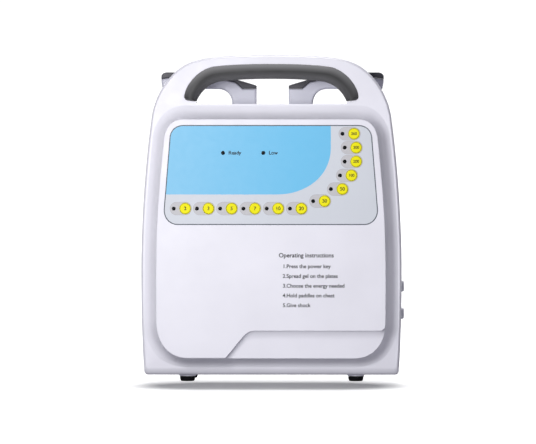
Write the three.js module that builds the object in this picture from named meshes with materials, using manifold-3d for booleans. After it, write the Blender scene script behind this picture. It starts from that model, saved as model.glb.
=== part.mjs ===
// Portable defibrillator: an upright plastic case with an arched carrying handle, twelve energy
// keys on its front, and two external paddles that stand in wells in its top.
// Millimetres, +Z up, the front faces -Y. The origin is on the floor, under the middle of the case.

import * as THREE from "three";
import { mergeVertices } from "three/addons/utils/BufferGeometryUtils.js";
import Module from "manifold-3d";

const wasm = await Module();
wasm.setup();

// ---------------------------------------------------------------- driving dimensions

const TOP_Z = 393; // crown of the handle arch
const HALF_WIDTH = 156.8; // widest half of the case, low on its sides
const CASE_BOTTOM = 8; // underside of the case, which stands on its feet
const FACE_Y = -95; // front of the raised panel
const RIM_Y = -67; // front of the rim and of the handle arch
const SEAM_Y = -55; // parting line between the front and the rear shell
const ARCH_BACK_Y = -42; // back of the handle arch
const REAR_Y = 95; // back of the case
const WALL = 3; // moulded wall
const EDGE_ROUND = 3; // rear edges of the handle arch
const RIM_ROUND = 9; // depth of the soft outer edge at the front of the case
const REAR_ROUND = 14; // its rear edges
const GAP = 0.3; // between pieces that touch
const GRIP_STANDS = 5; // the grip stands this far in front of the handle arch
const REAR_TAPER = 0.06; // share of its width that the case loses towards the back
const RIDGE_Z = 334.2; // top of the case under the handle arch
const DECK_REAR_Z = 321; // the top deck falls to this height at the back

const STEP_DEPTH = 7; // the lower right of the panel is this much further back
const STEP_Z = 62.2; // height of the step's edge
const STEP_SWEEP = 12; // the hollow below the step's edge runs out over this height
const STEP_CURVE = 2.6; // how early the step's wall falls away
const PANEL_BOTTOM = 28.8;
const PANEL_TOP = 316.3;
const PANEL_LIP = 8.3; // straight wall behind the panel's edge
const COVE_WIDTH = 15; // hollow flank beside the raised panel, down to the rim
const COVE_WIDTH_ABOVE = 16.8; // above the panel
const COVE_WIDTH_BELOW = 12; // and below it
const COVE_CURVE = 3.3; // how early the flank falls away
const COVE_LEAN = 0.25; // share of its fall that is spread evenly, so that it meets the rim at a slope
const BASE_LEAN = 0.14; // below the panel the whole front leans back by this much for each millimetre down
const RIM_START = 0.26; // the outer edge's curve starts at this angle, in radians

const OVERLAY_THICKNESS = 0.8;
const OVERLAY_BORDER = 1.3; // strip of overlay left round the blue window
const KEY_RADIUS = 6.3;
const KEY_TRAVEL = 0.8;
const LED_RADIUS = 2.2;
const LED_RECESS = 0.4; // the lamps' posts end this far behind the panel's face
const LED_OFFSET = 13.8; // each key's lamp is this far to its left
const BOARD_Y = -84; // front of the keypad board

const PADDLE_Y = 16; // middle of the paddles, front to back
const PADDLE_INNER = 19.7; // handle, measured outwards from the middle of the case
const PADDLE_OUTER = 134.6;
const PADDLE_BASE_TOP = 316;
const PADDLE_BASE_BOTTOM = 298.3;
const PADDLE_BAR_BOTTOM = 352.2;
const PADDLE_TOP = 372.4;
const PADDLE_WIDTH = 30; // handle, front to back
const PADDLE_BUTTON_U = 92; // thumb button, outwards from the middle of the case
const WELL_FLOOR = 294.3;

const FOOT_X = 101.5;
const FOOT_YS = [-43.5, 72];
const FOOT_HEIGHT = 5.9; // rubber below the case's foot bosses
const SOCKET_ZS = [114.5, 81.6];
const SOCKET_Y = -35;
const SCREW_SEAT_Y = 91; // the housing screws' heads sit in the back of the case
const SCREW_PLACES = [
  [-130, 40],
  [130, 40],
  [-128, 272],
  [128, 272],
];

// Battery bay and mains panel in the back of the case: [x low, x high, z low, z high].
const BATTERY_BAY = [-116, -24, 20, 112];
const MAINS_PANEL = [58, 132, 44, 112];
const MAINS_RECESS = 4;
const SWITCH_X = 95;
const SWITCH_Z = 93;
const INLET_Z = 62;
const GROUND_X = 66;

// ---------------------------------------------------------------- materials

function material(color, roughness, metalness = 0) {
  return new THREE.MeshStandardMaterial({ color, roughness, metalness });
}

const casePlastic = material(0xe9e8ef, 0.45);
const gripRubber = material(0x55565a, 0.75);
const overlayFilm = material(0xd0d3da, 0.4);
const blueFilm = material(0x86cbf2, 0.3);
const lampPlastic = material(0x14161c, 0.25);
const keyPlastic = material(0xeee833, 0.45);
const paddlePlastic = material(0xcbcad6, 0.45);
const capPlastic = material(0x4e4d56, 0.55);
const buttonPlastic = material(0xe0691f, 0.45);
const electrodeSteel = material(0xb9bcc0, 0.25, 1);
const footRubber = material(0x161618, 0.85);
const socketPlastic = material(0xa6a6ac, 0.5);
const blackPlastic = material(0x1b1c1f, 0.5);
const zincSteel = material(0x9fa3a8, 0.35, 1);
const boardGreen = material(0x1f5b3a, 0.6);
const batteryWrap = material(0x31434f, 0.6);
const capacitorCan = material(0x8c9094, 0.3, 1);
const windingWrap = material(0xc7a24a, 0.6);

// ---------------------------------------------------------------- solids from geometry

function solidOf(geometry) {
  const bare = geometry.clone();
  bare.deleteAttribute("normal");
  bare.deleteAttribute("uv");
  const merged = mergeVertices(bare, 1e-3);
  const index = merged.index.array;
  const triangles = [];
  for (let i = 0; i < index.length; i += 3) {
    const [a, b, c] = index.slice(i, i + 3);
    if (a !== b && b !== c && c !== a) triangles.push(a, b, c);
  }
  return new wasm.Manifold(
    new wasm.Mesh({
      numProp: 3,
      vertProperties: merged.attributes.position.array,
      triVerts: new Uint32Array(triangles),
    }),
  );
}

function geometryOf(solid) {
  const made = solid.getMesh();
  const geometry = new THREE.BufferGeometry();
  geometry.setAttribute("position", new THREE.BufferAttribute(made.vertProperties, 3));
  geometry.setIndex(new THREE.BufferAttribute(made.triVerts, 1));
  geometry.computeVertexNormals();
  return geometry;
}

function joined(...solids) {
  return solids.reduce((whole, next) => whole.add(next));
}

function cut(solid, ...tools) {
  return tools.reduce((left, tool) => left.subtract(tool), solid);
}

// An outline without the points that repeat or that lie on a straight run.
function cleaned(outline) {
  const apart = outline.filter((p, i) => p.distanceTo(outline[(i + 1) % outline.length]) > 2e-3);
  return apart.filter((point, i) => {
    const before = apart[(i + apart.length - 1) % apart.length];
    const after = apart[(i + 1) % apart.length];
    return Math.abs(point.clone().sub(before).cross(after.clone().sub(point))) > 1e-3;
  });
}

function extruded(outline, length, round, roundSteps, holes) {
  const shape = new THREE.Shape(cleaned(outline));
  shape.holes = holes.map((hole) => new THREE.Path(cleaned(hole)));
  const geometry = new THREE.ExtrudeGeometry(shape, {
    depth: length - 2 * round,
    bevelEnabled: round > 0,
    bevelThickness: round,
    bevelSize: round,
    bevelOffset: -round,
    bevelSegments: roundSteps,
    curveSegments: 6,
  });
  return geometry.translate(0, 0, round);
}

// A prism of an outline in x and z, from yFront to yBack.
function alongY(outline, yFront, yBack, { round = 0, roundSteps = 2, holes = [] } = {}) {
  const geometry = extruded(outline, yBack - yFront, round, roundSteps, holes);
  return solidOf(geometry.rotateX(Math.PI / 2).translate(0, yBack, 0));
}

// A prism of an outline in x and y, from zLow to zHigh.
function alongZ(outline, zLow, zHigh, { round = 0, roundSteps = 2, holes = [] } = {}) {
  return solidOf(extruded(outline, zHigh - zLow, round, roundSteps, holes).translate(0, 0, zLow));
}

// A prism of an outline in y and z, from xLow to xHigh.
function alongX(outline, xLow, xHigh, { round = 0, roundSteps = 2, holes = [] } = {}) {
  const geometry = extruded(outline, xHigh - xLow, round, roundSteps, holes);
  return solidOf(geometry.rotateX(Math.PI / 2).rotateZ(Math.PI / 2).translate(xLow, 0, 0));
}

function block(xs, ys, zs) {
  const geometry = new THREE.BoxGeometry(xs[1] - xs[0], ys[1] - ys[0], zs[1] - zs[0]);
  geometry.translate((xs[0] + xs[1]) / 2, (ys[0] + ys[1]) / 2, (zs[0] + zs[1]) / 2);
  return solidOf(geometry);
}

const TURN_AXES = {
  up: (geometry) => geometry.rotateX(Math.PI / 2),
  forward: (geometry) => geometry.rotateX(Math.PI),
  back: (geometry) => geometry,
  right: (geometry) => geometry.rotateZ(-Math.PI / 2),
};

// A turned piece: [radius, distance along the axis] points, which start and end on the axis.
function turned(profile, direction, [x, y, z], segments = 16) {
  const points = profile.map(([radius, along]) => new THREE.Vector2(radius, along));
  const geometry = new THREE.LatheGeometry(points, segments);
  return solidOf(TURN_AXES[direction](geometry).translate(x, y, z));
}

function rod(radius, length, direction, place, segments = 16) {
  const profile = [
    [0, 0],
    [radius, 0],
    [radius, length],
    [0, length],
  ];
  return turned(profile, direction, place, segments);
}

// ---------------------------------------------------------------- outlines, in x and z

function points(path, divisions = 6) {
  return path.getPoints(divisions);
}

// A whole outline from its right half, which runs from the bottom middle up to the top middle.
function mirrored(half) {
  const left = half.slice(1, -1).reverse();
  return cleaned([...half, ...left.map((p) => new THREE.Vector2(-p.x, p.y))]);
}

// An anticlockwise outline moved outwards by a distance, or inwards if it is negative.
function offset(outline, distance) {
  const count = outline.length;
  return outline.map((point, i) => {
    const before = point.clone().sub(outline[(i + count - 1) % count]).normalize();
    const after = outline[(i + 1) % count].clone().sub(point).normalize();
    const normal = new THREE.Vector2(before.y + after.y, -before.x - after.x).normalize();
    const reach = distance / Math.max(0.5, normal.dot(new THREE.Vector2(after.y, -after.x)));
    return point.clone().addScaledVector(normal, reach);
  });
}

function rectangle([x0, x1], [z0, z1], radius = 0) {
  const path = new THREE.Path();
  path.moveTo(x0 + radius, z0).lineTo(x1 - radius, z0);
  if (radius) path.absarc(x1 - radius, z0 + radius, radius, -Math.PI / 2, 0, false);
  path.lineTo(x1, z1 - radius);
  if (radius) path.absarc(x1 - radius, z1 - radius, radius, 0, Math.PI / 2, false);
  path.lineTo(x0 + radius, z1);
  if (radius) path.absarc(x0 + radius, z1 - radius, radius, Math.PI / 2, Math.PI, false);
  path.lineTo(x0, z0 + radius);
  if (radius) path.absarc(x0 + radius, z0 + radius, radius, Math.PI, Math.PI * 1.5, false);
  return cleaned(points(path, 2));
}

// The right side of the case, from the bottom middle up to its shoulder.
const SHOULDER_Z = 318;

function caseSide() {
  return new THREE.Path()
    .moveTo(0, CASE_BOTTOM)
    .lineTo(148.2, CASE_BOTTOM)
    .quadraticCurveTo(153.2, CASE_BOTTOM, 153.5, 13.2)
    .bezierCurveTo(155.3, 40, HALF_WIDTH, 80, HALF_WIDTH, 120)
    .bezierCurveTo(HALF_WIDTH + 0.9, 190, 150.8, 272, 144.3, SHOULDER_Z);
}

// The whole front, with the handle arch.
const caseOutline = mirrored(
  points(
    caseSide()
      .bezierCurveTo(140.3, 349, 117.5, 381, 89, 387)
      .bezierCurveTo(68.8, 392.5, 35, TOP_Z, 0, TOP_Z),
  ),
);

// Where the rim ends and the case's soft outer edge begins, point for point inside the case's outline.
const rimOutline = mirrored(
  points(
    new THREE.Path()
      .moveTo(0, CASE_BOTTOM + 8.3)
      .lineTo(145.6, CASE_BOTTOM + 8.3)
      .quadraticCurveTo(150.7, CASE_BOTTOM + 8.3, 151, 21)
      .bezierCurveTo(152.8, 44, HALF_WIDTH - 2.5, 80, HALF_WIDTH - 2.5, 120)
      .bezierCurveTo(HALF_WIDTH - 1.6, 190, 148.3, 272, 141.8, SHOULDER_Z)
      .bezierCurveTo(137.9, 347.5, 116, 378.6, 88.3, 384.6)
      .bezierCurveTo(68.3, 390, 35, TOP_Z - 2.5, 0, TOP_Z - 2.5),
  ),
);

// The body behind the arch, with rounded shoulders.
const bodyOutline = mirrored(
  points(caseSide().bezierCurveTo(143.2, 328, 136.6, RIDGE_Z, 125.6, RIDGE_Z).lineTo(0, RIDGE_Z)),
);

const panelOutline = mirrored(
  points(
    new THREE.Path()
      .moveTo(0, PANEL_BOTTOM)
      .lineTo(100, PANEL_BOTTOM)
      .bezierCurveTo(122, PANEL_BOTTOM, 137.5, 46, 137.8, 72)
      .bezierCurveTo(138.6, 150, 136.2, 230, 128.8, 290)
      .bezierCurveTo(127.5, 307, 119, PANEL_TOP, 104.5, PANEL_TOP)
      .lineTo(0, PANEL_TOP),
  ),
);

const overlayOutline = mirrored(
  points(
    new THREE.Path()
      .moveTo(0, 189)
      .lineTo(112, 189)
      .bezierCurveTo(121.5, 189, 129.3, 197, 128.6, 208)
      .lineTo(121.6, 295)
      .bezierCurveTo(120.5, 303.5, 114, 309.2, 104.5, 309.2)
      .lineTo(0, 309.2),
    5,
  ),
);

// The blue window fills the overlay's top left, with one large round corner.
const blueRegion = points(
  new THREE.Path()
    .moveTo(-140, 225.7)
    .lineTo(7, 225.7)
    .bezierCurveTo(42, 225.7, 72, 247, 72, 282)
    .lineTo(72, 320)
    .lineTo(-140, 320),
  8,
);

// The lower right of the panel, which lies a step further back.
const stepRegion = points(
  new THREE.Path()
    .moveTo(160, 24.8)
    .lineTo(160, 71)
    .lineTo(138.5, 71)
    .bezierCurveTo(138, 66, 134.5, STEP_Z, 130.5, STEP_Z)
    .lineTo(-18, STEP_Z)
    .bezierCurveTo(-27, STEP_Z, -31, 58.3, -36.4, 51.5)
    .lineTo(-58.3, 24.8),
  4,
);

// The grip's two edges, each from the end of the grip on the right to its middle.
const gripUpperHalf = points(
  new THREE.Path()
    .moveTo(100.6, 338.5)
    .lineTo(104.9, 343)
    .bezierCurveTo(104.9, 355, 89, 376, 70, 379.2)
    .bezierCurveTo(54, 381.5, 30, 382.6, 0, 382.6),
);
const gripLowerHalf = points(
  new THREE.Path()
    .moveTo(90.2, 337.2)
    .lineTo(88.6, 341)
    .bezierCurveTo(84, 349, 77, 357.3, 64, 360.6)
    .bezierCurveTo(52, 362.8, 30, 364.2, 0, 364.2),
);

function bothSides(half) {
  return [...half, ...half.slice(0, -1).reverse().map((p) => new THREE.Vector2(-p.x, p.y))];
}

const gripOutline = [...bothSides(gripUpperHalf), ...bothSides(gripLowerHalf).reverse()];

// Grip and finger gap together: the hole that the shells leave in the arch.
const archHole = [
  ...bothSides(gripUpperHalf),
  new THREE.Vector2(-90.8, 337),
  new THREE.Vector2(-90.2, RIDGE_Z),
  new THREE.Vector2(90.2, RIDGE_Z),
  new THREE.Vector2(90.8, 337),
];

// ---------------------------------------------------------------- keys and lamps, in x and z

const ROW_Z = 208.8;
const ROW_START_X = -102.8;
const ROW_PITCH = 27.9;
const ROW_ENERGIES = [2, 3, 5, 7, 10, 20];
// The last six keys climb round the blue window's corner.
const CLIMB_KEYS = [
  [30, 64.6, 217.8],
  [50, 85.9, 232.2],
  [100, 96.8, 248.6],
  [200, 102.4, 265.3],
  [300, 102.4, 282],
  [360, 99.8, 298.6],
];
const keys = [
  ...ROW_ENERGIES.map((energy, i) => [energy, ROW_START_X + i * ROW_PITCH, ROW_Z]),
  ...CLIMB_KEYS,
];
const INDICATOR_LAMPS = [
  [-57.4, 275.6],
  [-9.1, 275.6],
];
const lamps = [...keys.map(([, x, z]) => [x - LED_OFFSET, z]), ...INDICATOR_LAMPS];
const BOARD_PINS = [
  [-108, 296],
  [58, 298],
  [-108, 234],
  [50, 238],
];

function rodsForward(places, radius, yBack, length, segments) {
  return places.map(([x, z]) => rod(radius, length, "forward", [x, yBack, z], segments));
}

const keyPlaces = keys.map(([, x, z]) => [x, z]);

// ---------------------------------------------------------------- case

// A closed skin over outlines of equal length, from the front ring to the back ring. A ring's lean is
// how far it lies further back for each millimetre below the panel.
function loft(rings) {
  const count = rings[0].outline.length;
  const positions = rings.flatMap(({ outline, y, lean = 0 }) =>
    outline.flatMap((p) => [p.x, y + lean * Math.max(0, PANEL_BOTTOM - p.y), p.y]),
  );
  const index = [];
  for (let ring = 0; ring + 1 < rings.length; ring += 1) {
    for (let i = 0; i < count; i += 1) {
      const here = ring * count + i;
      const next = ring * count + ((i + 1) % count);
      index.push(here, here + count, next, next, here + count, next + count);
    }
  }
  const last = (rings.length - 1) * count;
  for (const [a, b, c] of THREE.ShapeUtils.triangulateShape(rings[0].outline, [])) {
    index.push(a, b, c, last + c, last + b, last + a);
  }
  const geometry = new THREE.BufferGeometry();
  geometry.setAttribute("position", new THREE.Float32BufferAttribute(positions, 3));
  geometry.setIndex(index);
  return solidOf(geometry);
}

// The panel's outline moved out over the hollow flank, further above the panel and less far below it.
function aroundPanel(distance) {
  return offset(panelOutline, distance).map((p) => {
    const above = Math.max(0, p.y - PANEL_TOP) * (COVE_WIDTH_ABOVE / COVE_WIDTH - 1);
    const below = Math.min(0, p.y - PANEL_BOTTOM) * (COVE_WIDTH_BELOW / COVE_WIDTH - 1);
    return new THREE.Vector2(p.x, p.y + above + below);
  });
}

// Share of its whole fall that the flank has made by a share of its width.
function flankFall(t) {
  return COVE_LEAN * t + (1 - COVE_LEAN) * (1 - (1 - t) ** COVE_CURVE);
}

// The raised panel and the hollow flank down to the rim, or the space inside them at a wall's inset.
function panelBlock(inset, yBack) {
  const edge = 1.5;
  const rings = [
    { outline: aroundPanel(-inset - edge), y: FACE_Y + inset },
    { outline: aroundPanel(-inset), y: FACE_Y + inset + edge },
  ];
  const steps = 5;
  const fall = RIM_Y - FACE_Y - PANEL_LIP;
  for (let i = 0; i <= steps; i += 1) {
    const t = i / steps;
    rings.push({
      outline: aroundPanel(COVE_WIDTH * t - inset),
      y: FACE_Y + PANEL_LIP + inset + fall * flankFall(t),
      lean: BASE_LEAN,
    });
  }
  rings.push({ outline: aroundPanel(COVE_WIDTH - inset), y: yBack, lean: BASE_LEAN });
  return loft(rings);
}

const caseInside = offset(caseOutline, -WALL);
const ARCH_FOOT_Z = 348; // above this the arch's two halves are channels

function archChannel(yFront, yBack) {
  const band = alongY(offset(caseOutline, -WALL - 0.5), yFront, yBack);
  const belowArch = block([-200, 200], [yFront - 1, yBack + 1], [0, ARCH_FOOT_Z]);
  const holeOutset = alongY(offset(archHole, WALL + 0.5), yFront - 1, yBack + 1);
  return cut(band, belowArch, holeOutset);
}

function belowRidge(solid) {
  return cut(solid, block([-200, 200], [-200, 200], [RIDGE_Z - WALL, 500]));
}

// The rim and the handle arch, whose front edges curve softly back to the sides.
function rim() {
  const steps = 4;
  const rings = [];
  for (let i = 0; i <= steps; i += 1) {
    const angle = RIM_START + ((Math.PI / 2 - RIM_START) * i) / steps;
    const out = (Math.sin(angle) - Math.sin(RIM_START)) / (1 - Math.sin(RIM_START));
    const outline = rimOutline.map((p, k) => p.clone().lerp(caseOutline[k], out));
    const y = RIM_Y + RIM_ROUND * (Math.cos(RIM_START) - Math.cos(angle));
    rings.push({ outline, y, lean: BASE_LEAN });
  }
  rings.push({ outline: caseOutline, y: SEAM_Y });
  return loft(rings);
}

// What the step takes from the panel: its wall sweeps down and back, steep at first.
function stepTool() {
  const edge = 0.8;
  const rings = [{ outline: stepRegion, y: FACE_Y - 2 }];
  const steps = 5;
  for (let i = 0; i <= steps; i += 1) {
    const t = i / steps;
    const outline = stepRegion.map((p) => new THREE.Vector2(p.x, p.y - STEP_SWEEP * t));
    rings.push({ outline, y: FACE_Y + edge + (STEP_DEPTH - edge) * (1 - (1 - t) ** STEP_CURVE) });
  }
  return loft(rings);
}

function frontShell() {
  const panel = cut(panelBlock(0, RIM_Y + 2), stepTool());
  const outside = joined(rim(), panel);
  const rimCavity = belowRidge(alongY(caseInside, RIM_Y + 3 * WALL, SEAM_Y + 1));
  const behindStep = FACE_Y + STEP_DEPTH + WALL;
  const panelCavity = cut(
    panelBlock(WALL, SEAM_Y + 1),
    block([-200, 200], [FACE_Y, behindStep], [0, STEP_Z + WALL + 2]),
  );
  const overlayRecess = alongY(offset(overlayOutline, GAP), FACE_Y - 1, FACE_Y + 1);
  const hollow = cut(
    outside,
    alongY(archHole, RIM_Y - 1, SEAM_Y + 1),
    archChannel(RIM_Y + WALL + 0.5, SEAM_Y + 1),
    rimCavity,
    belowRidge(panelCavity),
    overlayRecess,
    ...rodsForward(keyPlaces, KEY_RADIUS + GAP, FACE_Y + 5, 7),
    ...rodsForward(lamps, LED_RADIUS + GAP, FACE_Y + 5, 7, 10),
  );
  const pins = rodsForward(BOARD_PINS, 2.5, BOARD_Y + 2.5, BOARD_Y - FACE_Y, 10);
  const bosses = rodsForward(SCREW_PLACES, 5, SEAM_Y, 20.5, 12).map((boss) => boss.intersect(outside));
  const pilots = rodsForward(SCREW_PLACES, 1.5, SEAM_Y + 1, 16, 8);
  return cut(joined(hollow, ...pins, ...bosses), ...pilots);
}

// The body behind the seam narrows towards the back and ends in a large round.
function rearBody(outline, wall) {
  const middle = RIDGE_Z / 2;
  const rings = [{ outline, y: SEAM_Y - 1 }];
  const steps = 4;
  for (let i = 0; i <= steps; i += 1) {
    const angle = ((Math.PI / 2) * i) / steps;
    const y = REAR_Y - wall - REAR_ROUND * (1 - Math.sin(angle));
    const drawnIn = REAR_ROUND * (1 - Math.cos(angle));
    const across = 1 - (REAR_TAPER * (y - SEAM_Y)) / (REAR_Y - SEAM_Y) - drawnIn / HALF_WIDTH;
    const upright = 1 - drawnIn / middle;
    const ring = outline.map((p) => new THREE.Vector2(p.x * across, middle + (p.y - middle) * upright));
    rings.push({ outline: ring, y });
  }
  return loft(rings);
}

// What lies above the top deck, lowered by a depth; the handle arch in front of it stays.
function aboveDeck(depth) {
  const profile = new THREE.Path()
    .moveTo(ARCH_BACK_Y, RIDGE_Z - depth)
    .lineTo(REAR_Y - REAR_ROUND - depth, DECK_REAR_Z - depth)
    .quadraticCurveTo(REAR_Y - depth, DECK_REAR_Z - depth, REAR_Y - depth, DECK_REAR_Z - 14)
    .lineTo(REAR_Y + 10, DECK_REAR_Z - 14)
    .lineTo(REAR_Y + 10, 500)
    .lineTo(ARCH_BACK_Y, 500);
  return alongX(points(profile), -200, 200);
}

const WELL_XS = [16, 128];
const WELL_YS = [PADDLE_Y - 44, PADDLE_Y + 44];

function onBothSides(make) {
  return [1, -1].map(make);
}

function sideSpan([inner, outer], side) {
  return side > 0 ? [inner, outer] : [-outer, -inner];
}

function paddleWell(side, outset) {
  const xs = sideSpan([WELL_XS[0] - outset, WELL_XS[1] + outset], side);
  const ys = [WELL_YS[0] - outset, WELL_YS[1] + outset];
  return alongZ(rectangle(xs, ys, 12 + outset), WELL_FLOOR - outset, TOP_Z);
}

function footPlaces() {
  return FOOT_YS.flatMap((y) => [-FOOT_X, FOOT_X].map((x) => [x, y]));
}

function rearOpenings() {
  const [bx0, bx1, bz0, bz1] = BATTERY_BAY;
  const [mx0, mx1, mz0, mz1] = MAINS_PANEL;
  const doorRecess = rectangle([bx0 - 5, bx1 + 5], [bz0 - 5, bz1 + 5], 4);
  const slots = [];
  for (let i = 0; i < 7; i += 1) {
    const z = 168 + i * 9;
    slots.push(alongY(rectangle([-104, -46], [z, z + 3]), REAR_Y - 8, REAR_Y + 1));
  }
  return [
    alongY(rectangle([bx0, bx1], [bz0, bz1]), REAR_Y - 8, REAR_Y + 1),
    alongY(doorRecess, REAR_Y - 2.7, REAR_Y + 1),
    alongY(rectangle([mx0, mx1], [mz0, mz1], 4), REAR_Y - MAINS_RECESS, REAR_Y + 1),
    alongY(rectangle([SWITCH_X - 14.5, SWITCH_X + 14.5], [INLET_Z - 10.5, INLET_Z + 10.5]), 80, 96),
    alongY(rectangle([SWITCH_X - 10.5, SWITCH_X + 10.5], [SWITCH_Z - 10, SWITCH_Z + 10]), 80, 96),
    rod(3.3, 20, "back", [GROUND_X, 80, INLET_Z], 12),
    ...slots,
  ];
}

function rearShell() {
  const archSlab = alongY(caseOutline, SEAM_Y - 5, ARCH_BACK_Y, { round: EDGE_ROUND });
  const arch = archSlab.subtract(block([-200, 200], [-200, 200], [0, SHOULDER_Z - 2]));
  const outside = cut(
    joined(rearBody(bodyOutline, 0), arch),
    aboveDeck(0),
    block([-200, 200], [-200, SEAM_Y + GAP], [0, 500]),
    alongY(archHole, SEAM_Y - 6, ARCH_BACK_Y + 6),
  );
  const inside = rearBody(offset(bodyOutline, -WALL), WALL + 1);
  const cavity = cut(inside, aboveDeck(WALL));
  const tubs = onBothSides((side) => paddleWell(side, 2.5).intersect(outside));
  const bosses = SCREW_PLACES.map(([x, z]) =>
    rod(5, REAR_Y - 2 - SEAM_Y, "back", [x, SEAM_Y + GAP, z], 12),
  );
  const footBosses = footPlaces().map(([x, y]) =>
    turned(
      [
        [0, FOOT_HEIGHT + GAP],
        [9.6, FOOT_HEIGHT + GAP],
        [10.1, FOOT_HEIGHT + 1],
        [10.9, CASE_BOTTOM + 0.4],
        [10.9, CASE_BOTTOM + 4],
        [0, CASE_BOTTOM + 4],
      ],
      "up",
      [x, y, 0],
    ),
  );
  const [mx0, mx1, mz0, mz1] = MAINS_PANEL;
  const panelBacking = block(
    [mx0 - WALL, mx1 + WALL],
    [REAR_Y - MAINS_RECESS - WALL, REAR_Y - 3],
    [mz0 - WALL, mz1 + WALL],
  );
  return cut(
    joined(outside.subtract(cavity), panelBacking, ...tubs, ...bosses, ...footBosses),
    ...onBothSides((side) => paddleWell(side, 0)),
    ...rearOpenings(),
    ...SCREW_PLACES.map(([x, z]) => rod(2, 200, "back", [x, SEAM_Y - 1, z], 10)),
    ...SCREW_PLACES.map(([x, z]) => rod(4.2, 20, "back", [x, SCREW_SEAT_Y, z], 12)),
    ...SOCKET_ZS.map((z) => rod(7.2, 40, "right", [HALF_WIDTH - 20, SOCKET_Y, z])),
    ...footPlaces().map(([x, y]) => rod(3, 30, "up", [x, y, -1], 10)),
  );
}

function handleGrip() {
  const front = RIM_Y - GRIP_STANDS;
  return alongY(offset(gripOutline, -GAP), front, ARCH_BACK_Y + 1.5, { round: 6, roundSteps: 3 });
}

// ---------------------------------------------------------------- keypad

const OVERLAY_FRONT = FACE_Y - 0.1;
const OVERLAY_BACK = OVERLAY_FRONT + OVERLAY_THICKNESS;

function blueSheet(shrink) {
  const insetOutline = offset(overlayOutline, shrink - OVERLAY_BORDER);
  const inset = alongY(insetOutline, OVERLAY_FRONT - 1, OVERLAY_BACK + 1);
  return inset.intersect(alongY(offset(blueRegion, shrink), OVERLAY_FRONT - 2, OVERLAY_BACK + 2));
}

function keypadOverlay() {
  const sheet = alongY(overlayOutline, OVERLAY_FRONT, OVERLAY_BACK);
  return cut(
    sheet,
    blueSheet(GAP),
    ...rodsForward(keyPlaces, KEY_RADIUS + GAP, FACE_Y + 5, 10),
    ...rodsForward(lamps, LED_RADIUS + GAP, FACE_Y + 5, 10, 10),
  );
}

function blueWindow() {
  const sheet = blueSheet(0).intersect(
    block([-200, 200], [OVERLAY_FRONT, OVERLAY_BACK], [0, 400]),
  );
  return cut(sheet, ...rodsForward(INDICATOR_LAMPS, LED_RADIUS + GAP, FACE_Y + 5, 10, 10));
}

const GUIDE_FRONT = -90.1;
const GUIDE_BACK = -88.9;
const boardOutline = offset(overlayOutline, -4);

function ledLightGuide() {
  const sheet = alongY(boardOutline, GUIDE_FRONT, GUIDE_BACK);
  const posts = rodsForward(lamps, LED_RADIUS, GUIDE_BACK, GUIDE_BACK - FACE_Y - LED_RECESS, 10);
  return cut(
    joined(sheet, ...posts),
    ...rodsForward(keyPlaces, 3.5, GUIDE_BACK + 1, 4, 10),
    ...rodsForward(BOARD_PINS, 2.9, GUIDE_BACK + 1, 4, 10),
  );
}

function keypadBoard() {
  const sheet = alongY(boardOutline, BOARD_Y, BOARD_Y + 1.6);
  return cut(
    joined(
      sheet,
      ...rodsForward(keyPlaces, 3.5, BOARD_Y + 0.5, 2.5, 10),
      ...rodsForward(lamps, 1.5, BOARD_Y + 0.5, 3.5, 8),
    ),
    ...rodsForward(BOARD_PINS, 2.9, BOARD_Y + 3, 5, 10),
  );
}

// A key: stem, retaining flange behind the panel, and a slightly domed cap.
function energyKey([, x, z]) {
  const profile = [
    [0, 0],
    [3, 0],
    [3, 3.9],
    [KEY_RADIUS + 1.1, 3.9],
    [KEY_RADIUS + 1.1, 4.4],
    [KEY_RADIUS, 4.4],
    [KEY_RADIUS, 8.1],
    [KEY_RADIUS - 0.9, 8.7],
    [0, 8.9],
  ];
  return turned(profile, "forward", [x, BOARD_Y - 2.5 - KEY_TRAVEL, z]);
}

// ---------------------------------------------------------------- paddles
// Each is drawn on the right; u is the distance outwards from the middle of the case.

const PADDLE_YS = [PADDLE_Y - PADDLE_WIDTH / 2, PADDLE_Y + PADDLE_WIDTH / 2];

// The edge between the handle and its dark cap, from the outer end inwards, raised by a lift.
function capEdge(lift) {
  const places = [
    [PADDLE_OUTER, 364.5],
    [124, 366],
    [62, 364],
    [45, 360.3],
    [36, 352.5],
    [PADDLE_INNER, 352.5],
  ];
  return places.map(([u, z]) => new THREE.Vector2(u, z + lift));
}

const paddleHandleOutline = [
  ...points(
    new THREE.Path()
      .moveTo(PADDLE_INNER, PADDLE_BASE_TOP + GAP)
      .lineTo(122, PADDLE_BASE_TOP + GAP)
      .bezierCurveTo(122, 338, 126, 344, 132, 350)
      .bezierCurveTo(133.4, 354, PADDLE_OUTER, 359, PADDLE_OUTER, 364.5),
    4,
  ),
  ...capEdge(0),
];

const fingerGap = points(
  new THREE.Path()
    .moveTo(58, 326)
    .lineTo(106, 326)
    .bezierCurveTo(110, 326, 112, 328.5, 112, 332)
    .bezierCurveTo(112, 345, 113, PADDLE_BAR_BOTTOM, 104, PADDLE_BAR_BOTTOM)
    .lineTo(66, PADDLE_BAR_BOTTOM)
    .bezierCurveTo(56, PADDLE_BAR_BOTTOM, 48.8, 345, 48.8, 335)
    .lineTo(48.8, 334)
    .bezierCurveTo(48.8, 329, 52, 326, 58, 326),
  4,
);

const paddleCapOutline = [
  ...capEdge(1.5 * GAP).reverse(),
  ...points(
    new THREE.Path()
      .moveTo(PADDLE_OUTER, 367.5)
      .bezierCurveTo(PADDLE_OUTER, 370, 131.6, PADDLE_TOP, 127.6, PADDLE_TOP)
      .lineTo(80, PADDLE_TOP)
      .bezierCurveTo(72, PADDLE_TOP, 68, 371, 62, 369.2)
      .lineTo(24, 357.9)
      .bezierCurveTo(20.6, 356.9, PADDLE_INNER, 356.5, PADDLE_INNER, 355.5),
    3,
  ),
];

const BUTTON_RADIUS = 6.8;

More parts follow.
